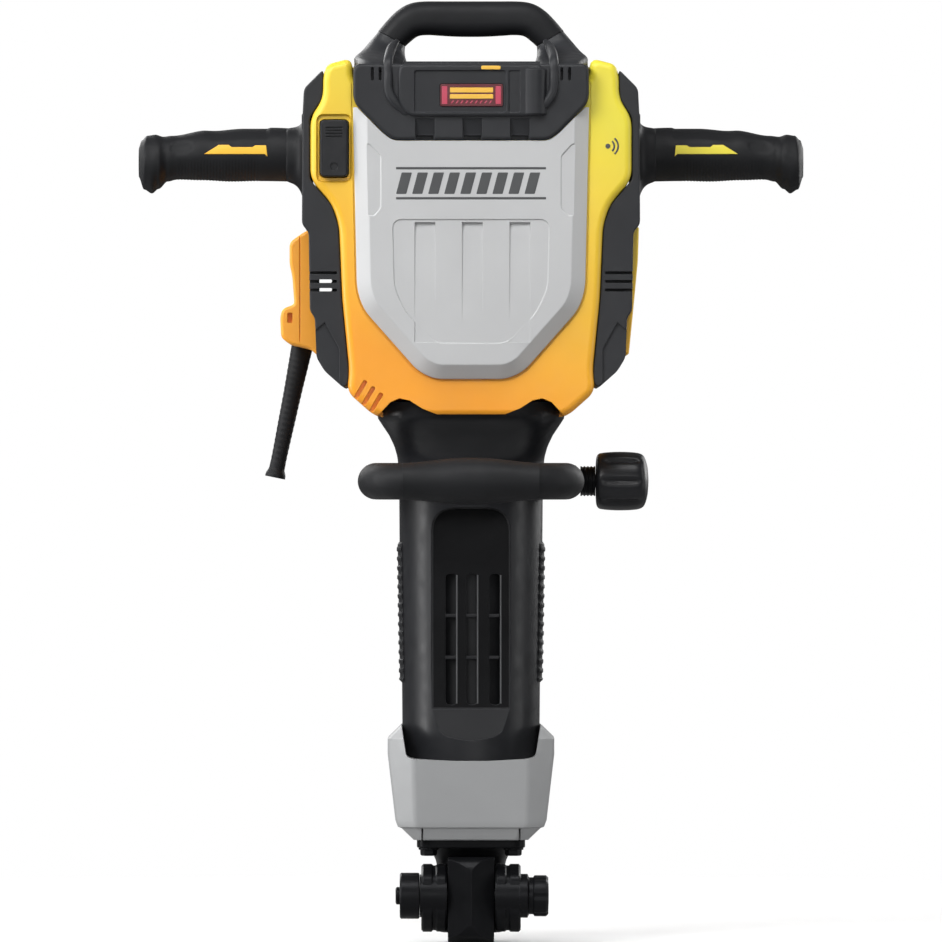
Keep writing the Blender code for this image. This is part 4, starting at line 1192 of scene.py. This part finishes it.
def collar_loop(wide, deep, trim, z):
    points = [(wide, deep - trim), (wide - trim, deep), (-wide + trim, deep), (-wide, deep - trim),
              (-wide, -deep + trim), (-wide + trim, -deep), (wide - trim, -deep), (wide, -deep + trim)]
    return [(p.x, p.y, z) for p in rounded(points, 3.5, 4)]


def nose_collar():
    """The eight-sided casting, cut away at the front and back to seat the barrel cover."""
    low, high, wide, deep = COLLAR.z0, COLLAR.z1, COLLAR.x1, COLLAR.y1
    rows = [  # (height, in from the side, in from the front, corner trim)
        (low, 23, 11.4, 10), (low + 0.8, 22.2, 10.4, 10.5), (low + 10.4, 12.2, 6.4, 15),
        (low + 11.6, 9.0, 4.8, 16), (low + 17.5, 6.8, 3.5, 17), (low + 76, 0, 0, 22), (low + 89.5, 0, 0, 22),
        (high - 2, 10, 6.4, 22), (high, 12.3, 8, 21),
    ]
    made = skin("collar_casting", [collar_loop(wide - x, deep - y, trim, z) for z, x, y, trim in rows])
    saddle = rounded(mirrored([(62.5, high + 6), (57.2, high - 27.6), (50, high - 29.5), (16, high - 31)]), 5)
    cuts = [
        straight_slab(saddle, -120, 120),
        bore(62.2, high - 43, high + 10, steps=FINE),
        bore(42.6, low - 5, high, steps=FINE),
    ]
    for x in (43, -43):
        for y in (45, -45):
            cuts.append(pocket((x - 0.8, x + 0.8, low - 2, low + 10.5), y, 2 * y))
    present(cut(made, *cuts), "hammer", "grey_casting", ["nose_collar"], crease=24)


def nose_flange():
    low, high, half = FLANGE.z0, FLANGE.z1, FLANGE.x1
    outline = rounded(rectangle(-half, half, -half, half), 14, 7)
    rings = [(1.2, low), (0.3, low + 0.4), (0, low + 1.2), (0, high)]
    made = slab("flange_plate", outline, rings, across="Z")
    present(cut(made, bore(30.4, low - 5, high + 5, steps=FINE)), "hammer", "black_steel", ["nose_flange"])
    for index in range(1, 5):
        flange_bolt(index, low - 0.05)


def flange_bolt(index, top):
    """A hexagon head with a washer face and a dimple."""
    node = f"nose_bolt_{index}"
    box = Span(node)
    centre, foot = (box.middle.x, box.middle.y, 0), box.z0
    head = turned(f"flange_bolt_{index}", [(6.2, foot), (7.4, foot + 1.1), (7.6, top - 1.6)], centre, steps=6)
    face = turned("washer", [(8.6, top - 1.7), (9.0, top - 1.2), (9.0, top)], centre, steps=48)
    dimple = turned("dimple", [(4.2, foot - 1), (3.4, foot + 0.7)], centre, steps=32)
    present(cut(fuse(head, face), dimple), "hammer", "black_steel", [node])


def holder_lug(side):
    """The flanged cheek on one side of the holder that carries the latch's pin."""
    y, z = LATCH_AXIS.y, LATCH_AXIS.z
    corners = [(-16, -17), (-16, 18), (6, 27), (40, 27), (46, 10), (46, -22), (28, -33), (0, -32)]
    outline = rounded([(y + across, z + rise) for across, rise in corners], 7)
    rings = [(1.6, 21.4), (0.2, 23.0), (0.2, 30), (1.4, 31.6), (1.4, 33.5), (0, 35), (0, 42.3), (1.8, 44)]
    return slab("lug", outline, [(gap, side * x) for gap, x in rings], across="X")


def tool_holder():
    low, flange_foot = HOLDER.z0, FLANGE.z0
    pivot = (0, LATCH_AXIS.y, LATCH_AXIS.z)
    across_flats, slot_half = 29.2, 21.4

    def flats(angle, height):
        return 0.95 if height > 56 and math.cos(6 * angle) > 0.75 else 1

    body = turned("holder_casting", [
        (27.5, low), (29, low + 0.8), (30, low + 2.5), (30, low + 58), (31.5, low + 64),
        (35.5, flange_foot - 3.2), (36, flange_foot - 0.2), (29.8, flange_foot - 0.1), (29.8, low + 84),
    ])
    cross = drum("cross", pivot, 19, -45.4, 44.5, "X")
    cap_profile = [(19.4, 43), (19.4, 50), (16.4, 51.4), (16.4, 55), (18.2, 56.2), (18.2, 66.4), (16.2, 68.4),
                   (6, 68.8)]
    cap = turned("cap", cap_profile, pivot, "X", shape=flats)
    made = fuse(body, cross, holder_lug(1), holder_lug(-1), cap)
    cuts = [
        turned("mouth", [(24.4, low - 4), (23.5, low + 2), (23.5, low + 22)]),
        bore(across_flats / math.sqrt(3), low + 20, low + 120, steps=6),
        wedge([(-90, low - 12), (-23, low - 12), (-23, low + 68), (-90, low + 68)], -slot_half, slot_half),
        bore(6.6, -80, 60, pivot, "X"),
    ]
    present(cut(made, *cuts), "hammer", "black_steel", ["tool_holder"], crease=30)


def latch():
    """The swing-out retainer: a plate with two front facets, and a hook under the tool collar."""
    pivot, half, ridge = LATCH_AXIS, 20.5, -18.8
    points = [(-6, 35), (-14, 31.5), (-18.5, 24), (-18.5, -25), (-14.5, -35), (-5, -41.4), (28, -41.4),
              (30, -39.5), (30, -35.6), (5, -33.5), (6.5, -14), (14, -8), (16, 0), (12, 11), (3, 16),
              (0.5, 33)]
    profile = rounded([(pivot.y + y, pivot.z + z) for y, z in points], 2.5, 3)
    rings = [(1.0, -half), (0.1, -half + 1), (0.1, half - 1), (1.0, half)]
    cuts = []
    for side, fall in ((1, 12.5), (-1, 8.0)):
        edge, front = side * (half + 2), pivot.y - 34
        facet = [(0, pivot.y + ridge), (edge, pivot.y + ridge + fall), (edge, front), (0, front)]
        cuts.append(straight_slab(facet, pivot.z - 60, pivot.z + 60, "Z"))
    cuts.append(bore(6.5, -40, 40, (0, pivot.y, pivot.z), "X"))
    made = slab("latch_plate", profile, rings, across="X")
    present(cut(made, *cuts), "latch", "black_steel", ["retaining_latch"], crease=25)


def latch_pin():
    """The latch's pin, with a slotted head on the left."""
    left, y, z = PIN.x0, LATCH_AXIS.y, LATCH_AXIS.z
    head = [(6.6, 0), (7.8, 1), (7.8, 3.6), (19.2, 3.8), (20.4, 5), (20.4, 20.2), (19.4, 21.2), (6, 21.3)]
    profile = [(radius, left + along) for radius, along in head] + [(6, PIN.x1 - 1), (5, PIN.x1)]
    made = turned("pin_with_head", profile, (0, y, z), "X")
    slot = pocket((y - 1.1, y + 1.1, z - 9, z + 9), left - 2, left + 1.6, across="X")
    present(cut(made, slot), "hammer", "black_steel", ["latch_pin"], crease=30)


# ---------------------------------------------------------------- bail handle


def clamp_band():
    """The split band round the barrel, with a lug on each side and the stub that the bail turns on."""
    middle = (0, 0, BAIL_AXIS.z)
    inner, outer, edge = 64.9, 68.2, 0.6
    half = (BAND.z1 - BAND.z0) / 2
    rim = [(outer - edge, half), (outer, half - 0.8), (outer - edge, half - 3)]
    profile = [(inner, -half)] + [(radius, -z) for radius, z in rim] + rim[::-1] + [(inner, half)]
    band = turned("band", profile, middle, steps=FINE, ends="ring")
    lugs = [drum("lug", middle, 12.6, start, start + 5.4, "X") for start in (64.6, -70)]
    stub = drum("stub", middle, 7.9, -96, -66, "X")
    made = cut(fuse(band, *lugs, stub), bore(inner, -30, 30, middle, steps=FINE))
    present(made, "clamp", "black_steel", ["clamp_band"])


def bail_path(arm, reach, corner):
    """From the left hub forwards, round the front and back to the right hub, in 4 mm steps."""
    z, steps = BAIL_AXIS.z, 12
    points = [Vector((-arm, 2, z)), Vector((-arm, -reach * 0.4, z))]
    for step in range(steps + 1):
        angle = math.pi / 2 * step / steps
        x, y = -arm + corner * (1 - math.cos(angle)), -reach + corner * (1 - math.sin(angle))
        points.append(Vector((x, y, z)))
    points += [Vector((-point.x, point.y, z)) for point in reversed(points)]
    path = []
    for a, b in zip(points, points[1:]):
        pieces = max(1, int((b - a).length / 4))
        path += [a.lerp(b, k / pieces) for k in range(pieces)]
    return path + [points[-1]]


def bail():
    """The loop handle: a tube that thickens to the front, two hubs, and a grip sleeve."""
    middle = (0, 0, BAIL_AXIS.z)
    reach = -BAIL_GRIP.y0 - 20.3
    path = bail_path(83.5, reach, 38)
    sizes = [13 + 3.1 * smooth(20, reach * 0.7, -point.y) for point in path]
    made = sweep("bail_tube", path, [(size, size) for size in sizes], 2.0, 44)
    hub = [(14.6, 70.8), (15.6, 71.8), (15.6, 86), (15.2, 90), (13.8, 93.4), (11.4, 95.6), (8.6, 96.6)]
    hubs = [turned("hub", [(radius, side * x) for radius, x in hub], middle, "X") for side, _ in SIDES]
    made = fuse(made, *hubs)
    for side, _ in SIDES:
        made = cut(made, bore(8.3, 60 * side, 110 * side, middle, "X"))
    present(made, "bail", "black_rubber", ["bail_frame"], crease=50)
    half, rows = 60, 61
    places = [-half + 2 * half * index / (rows - 1) for index in range(rows)]
    profile = [(16.2 + 4.4 * (1 - smooth(6, half, abs(x))), x) for x in places]
    grip = turned("bail_sleeve", profile, (0, -reach, BAIL_AXIS.z), "X", 64)
    present(grip, "bail", "black_rubber", ["bail_grip"], crease=60)


def thrust_washer():
    """A short sleeve with the crests of a coarse thread."""
    start, end, hole, flange = WASHER.x0, WASHER.x1, 6.3, 13.2
    turns, per_turn = 4, 6
    profile = [(hole, start), (flange, start)]
    for index in range(turns * per_turn + 1):
        x = start + 0.6 + (end - start - 1.2) * index / (turns * per_turn)
        profile.append((12.5 + 0.9 * (0.5 + 0.5 * math.cos(2 * math.pi * index / per_turn)), x))
    profile += [(flange, end), (hole, end)]
    ring = turned("thrust_sleeve", profile, (0, 0, BAIL_AXIS.z), "X", 64, ends="ring")
    present(ring, "washer", "black_steel", ["thrust_washer"], crease=50)


def clamp_knob():
    """The eight-lobed knob on its stud."""
    head, middle = 111.0, (0, 0, BAIL_AXIS.z)
    rows = [(15, 0), (21, 0.6), (24.2, 2.6), (25.6, 7), (26.3, 14), (26.5, 22), (26.2, 31), (25.4, 37.5),
            (23.6, 41.5), (20, 44), (13, 46), (5, 46.8), (0.01, 47)]
    profile = spline([(radius, head + x) for radius, x in rows], 60)

    def lobes(angle, height):
        groove = max(0.0, math.cos(8 * angle)) ** 3
        return 1 - 0.105 * groove * within(head + 3, head + 43, 11, height, 10)

    knob = turned("clamp_knob_grip", [(p.x, p.y) for p in profile], middle, "X", 128, shape=lobes)
    stud = drum("stud", middle, 6, KNOB.x0, head + 4, "X", 0.6)
    present(fuse(knob, stud), "knob", "black_plastic", ["clamp_knob"], crease=50)


# ---------------------------------------------------------------- carried-over CAD nodes


def carried_over():
    """The inner parts keep their CAD shapes, with rounded edges and their slots' finishes."""
    slot_of = {part["node"]: part["material_slot"] for part in frame["record"]["subparts"]}
    for name, node in frame["nodes"].items():
        if node.hide_render:
            continue
        dress(node, slot_of[name], 30)
        rim = node.modifiers.new("rim", "BEVEL")
        rim.width = 0.4 * MM
        rim.segments = 2
        rim.limit_method = "ANGLE"
        rim.angle_limit = math.radians(40)


# ---------------------------------------------------------------- studio


def studio_floor():
    """A matt disc that fades out before its edge; the camera sees it paler than the light does."""
    steps, radius, drop = 96, 1600, -1.5
    loops = []
    for reach in (1, radius * 0.5, radius):
        loops.append([(reach * math.cos(angle), reach * math.sin(angle), drop) for angle in angles(steps)])
    floor = skin("studio_floor", loops, ends="open")
    graph = Graph(bpy.data.materials.new("studio_floor"))
    place = graph.add("TexCoord").outputs["Object"]
    far = graph.add("VectorMath", {0: place}, operation="LENGTH").outputs["Value"]
    seen = graph.mix(graph.noise(place, 40.0), tone((0.93, 0.93, 0.93)), tone((0.96, 0.96, 0.96)))
    camera_ray = graph.add("LightPath").outputs["Is Camera Ray"]
    colour = graph.mix(camera_ray, tone((0.4, 0.4, 0.4)), seen)
    matt = graph.add("BsdfDiffuse", {"Color": colour}).outputs["BSDF"]
    clear = graph.add("BsdfTransparent").outputs["BSDF"]
    mixed = graph.add("MixShader", {0: graph.ramp(far, 0.5, 1.5), 1: matt, 2: clear}).outputs["Shader"]
    graph.add("OutputMaterial", {"Surface": mixed})
    floor.data.materials.append(graph.owner)


def studio_world():
    """White to the camera, and to the object a soft grey room that is brighter above."""
    world = bpy.data.worlds.new("studio")
    bpy.context.scene.world = world
    graph = Graph(world)
    place = graph.add("TexCoord").outputs["Generated"]
    height = graph.add("SeparateXYZ", {"Vector": place}).outputs["Z"]
    glow = graph.ramp(height, -0.6, 1.0, 0.03, 0.27)
    lit = graph.add("Background", {"Strength": glow}).outputs["Background"]
    seen = graph.add("Background", {"Color": (1, 1, 1, 1)}).outputs["Background"]
    camera_ray = graph.add("LightPath").outputs["Is Camera Ray"]
    mixed = graph.add("MixShader", {0: camera_ray, 1: lit, 2: seen}).outputs["Shader"]
    graph.add("OutputWorld", {"Surface": mixed})


def soft_light(name, place, power, width, height):
    """A rectangular lamp, in metres and watts, aimed at the middle of the hammer."""
    aim = Vector((0, 0, 0.45))
    data = bpy.data.lights.new(name, "AREA")
    data.shape = "RECTANGLE"
    data.size, data.size_y = width, height
    data.energy = power
    lamp = place_in_scene(name, data)
    lamp.location = place
    lamp.rotation_euler = (aim - Vector(place)).to_track_quat("-Z", "Y").to_euler()
    lamp.visible_camera = False


def studio():
    studio_floor()
    studio_world()
    soft_light("key", (-2.2, -2.6, 2.6), 108, 1.8, 1.8)
    soft_light("left_strip", (-2.4, -0.2, 0.9), 45, 0.6, 2.4)
    soft_light("right_strip", (2.4, -0.2, 0.9), 16, 0.6, 2.4)
    soft_light("front_fill", (0.6, -4.5, 1.0), 34, 2.4, 1.6)
    soft_light("overhead", (0.2, -1.9, 3.4), 55, 1.8, 1.2)
    soft_light("back_left", (-1.8, 3.0, 2.2), 60, 2.0, 2.0)
    soft_light("back_right", (2.2, 2.6, 1.4), 40, 1.6, 2.0)
    bpy.context.scene.view_settings.view_transform = "Standard"


def camera():
    """Straight on, from far enough away that near and far parts keep their sizes."""
    low, high = CAD_BOX
    distance, margin = 9.0, 1.003
    data = bpy.data.cameras.new("camera")
    data.sensor_width = 36
    data.lens = data.sensor_width * distance / ((high.z - low.z) * margin)
    data.clip_end = 60
    made = place_in_scene("camera", data)
    made.location = (0, -distance, (low.z + high.z) / 2)
    made.rotation_euler = (math.radians(90), 0, 0)
    bpy.context.scene.camera = made


housing()
signal_mark()
panel()
top_module()
carry_handle()
side_covers()
rear_cover()
side_handles()
rocker()
cable_inlet()
sleeve()
barrel_cover()
nose_collar()
nose_flange()
tool_holder()
latch()
latch_pin()
clamp_band()
bail()
thrust_washer()
clamp_knob()
carried_over()
studio()
camera()
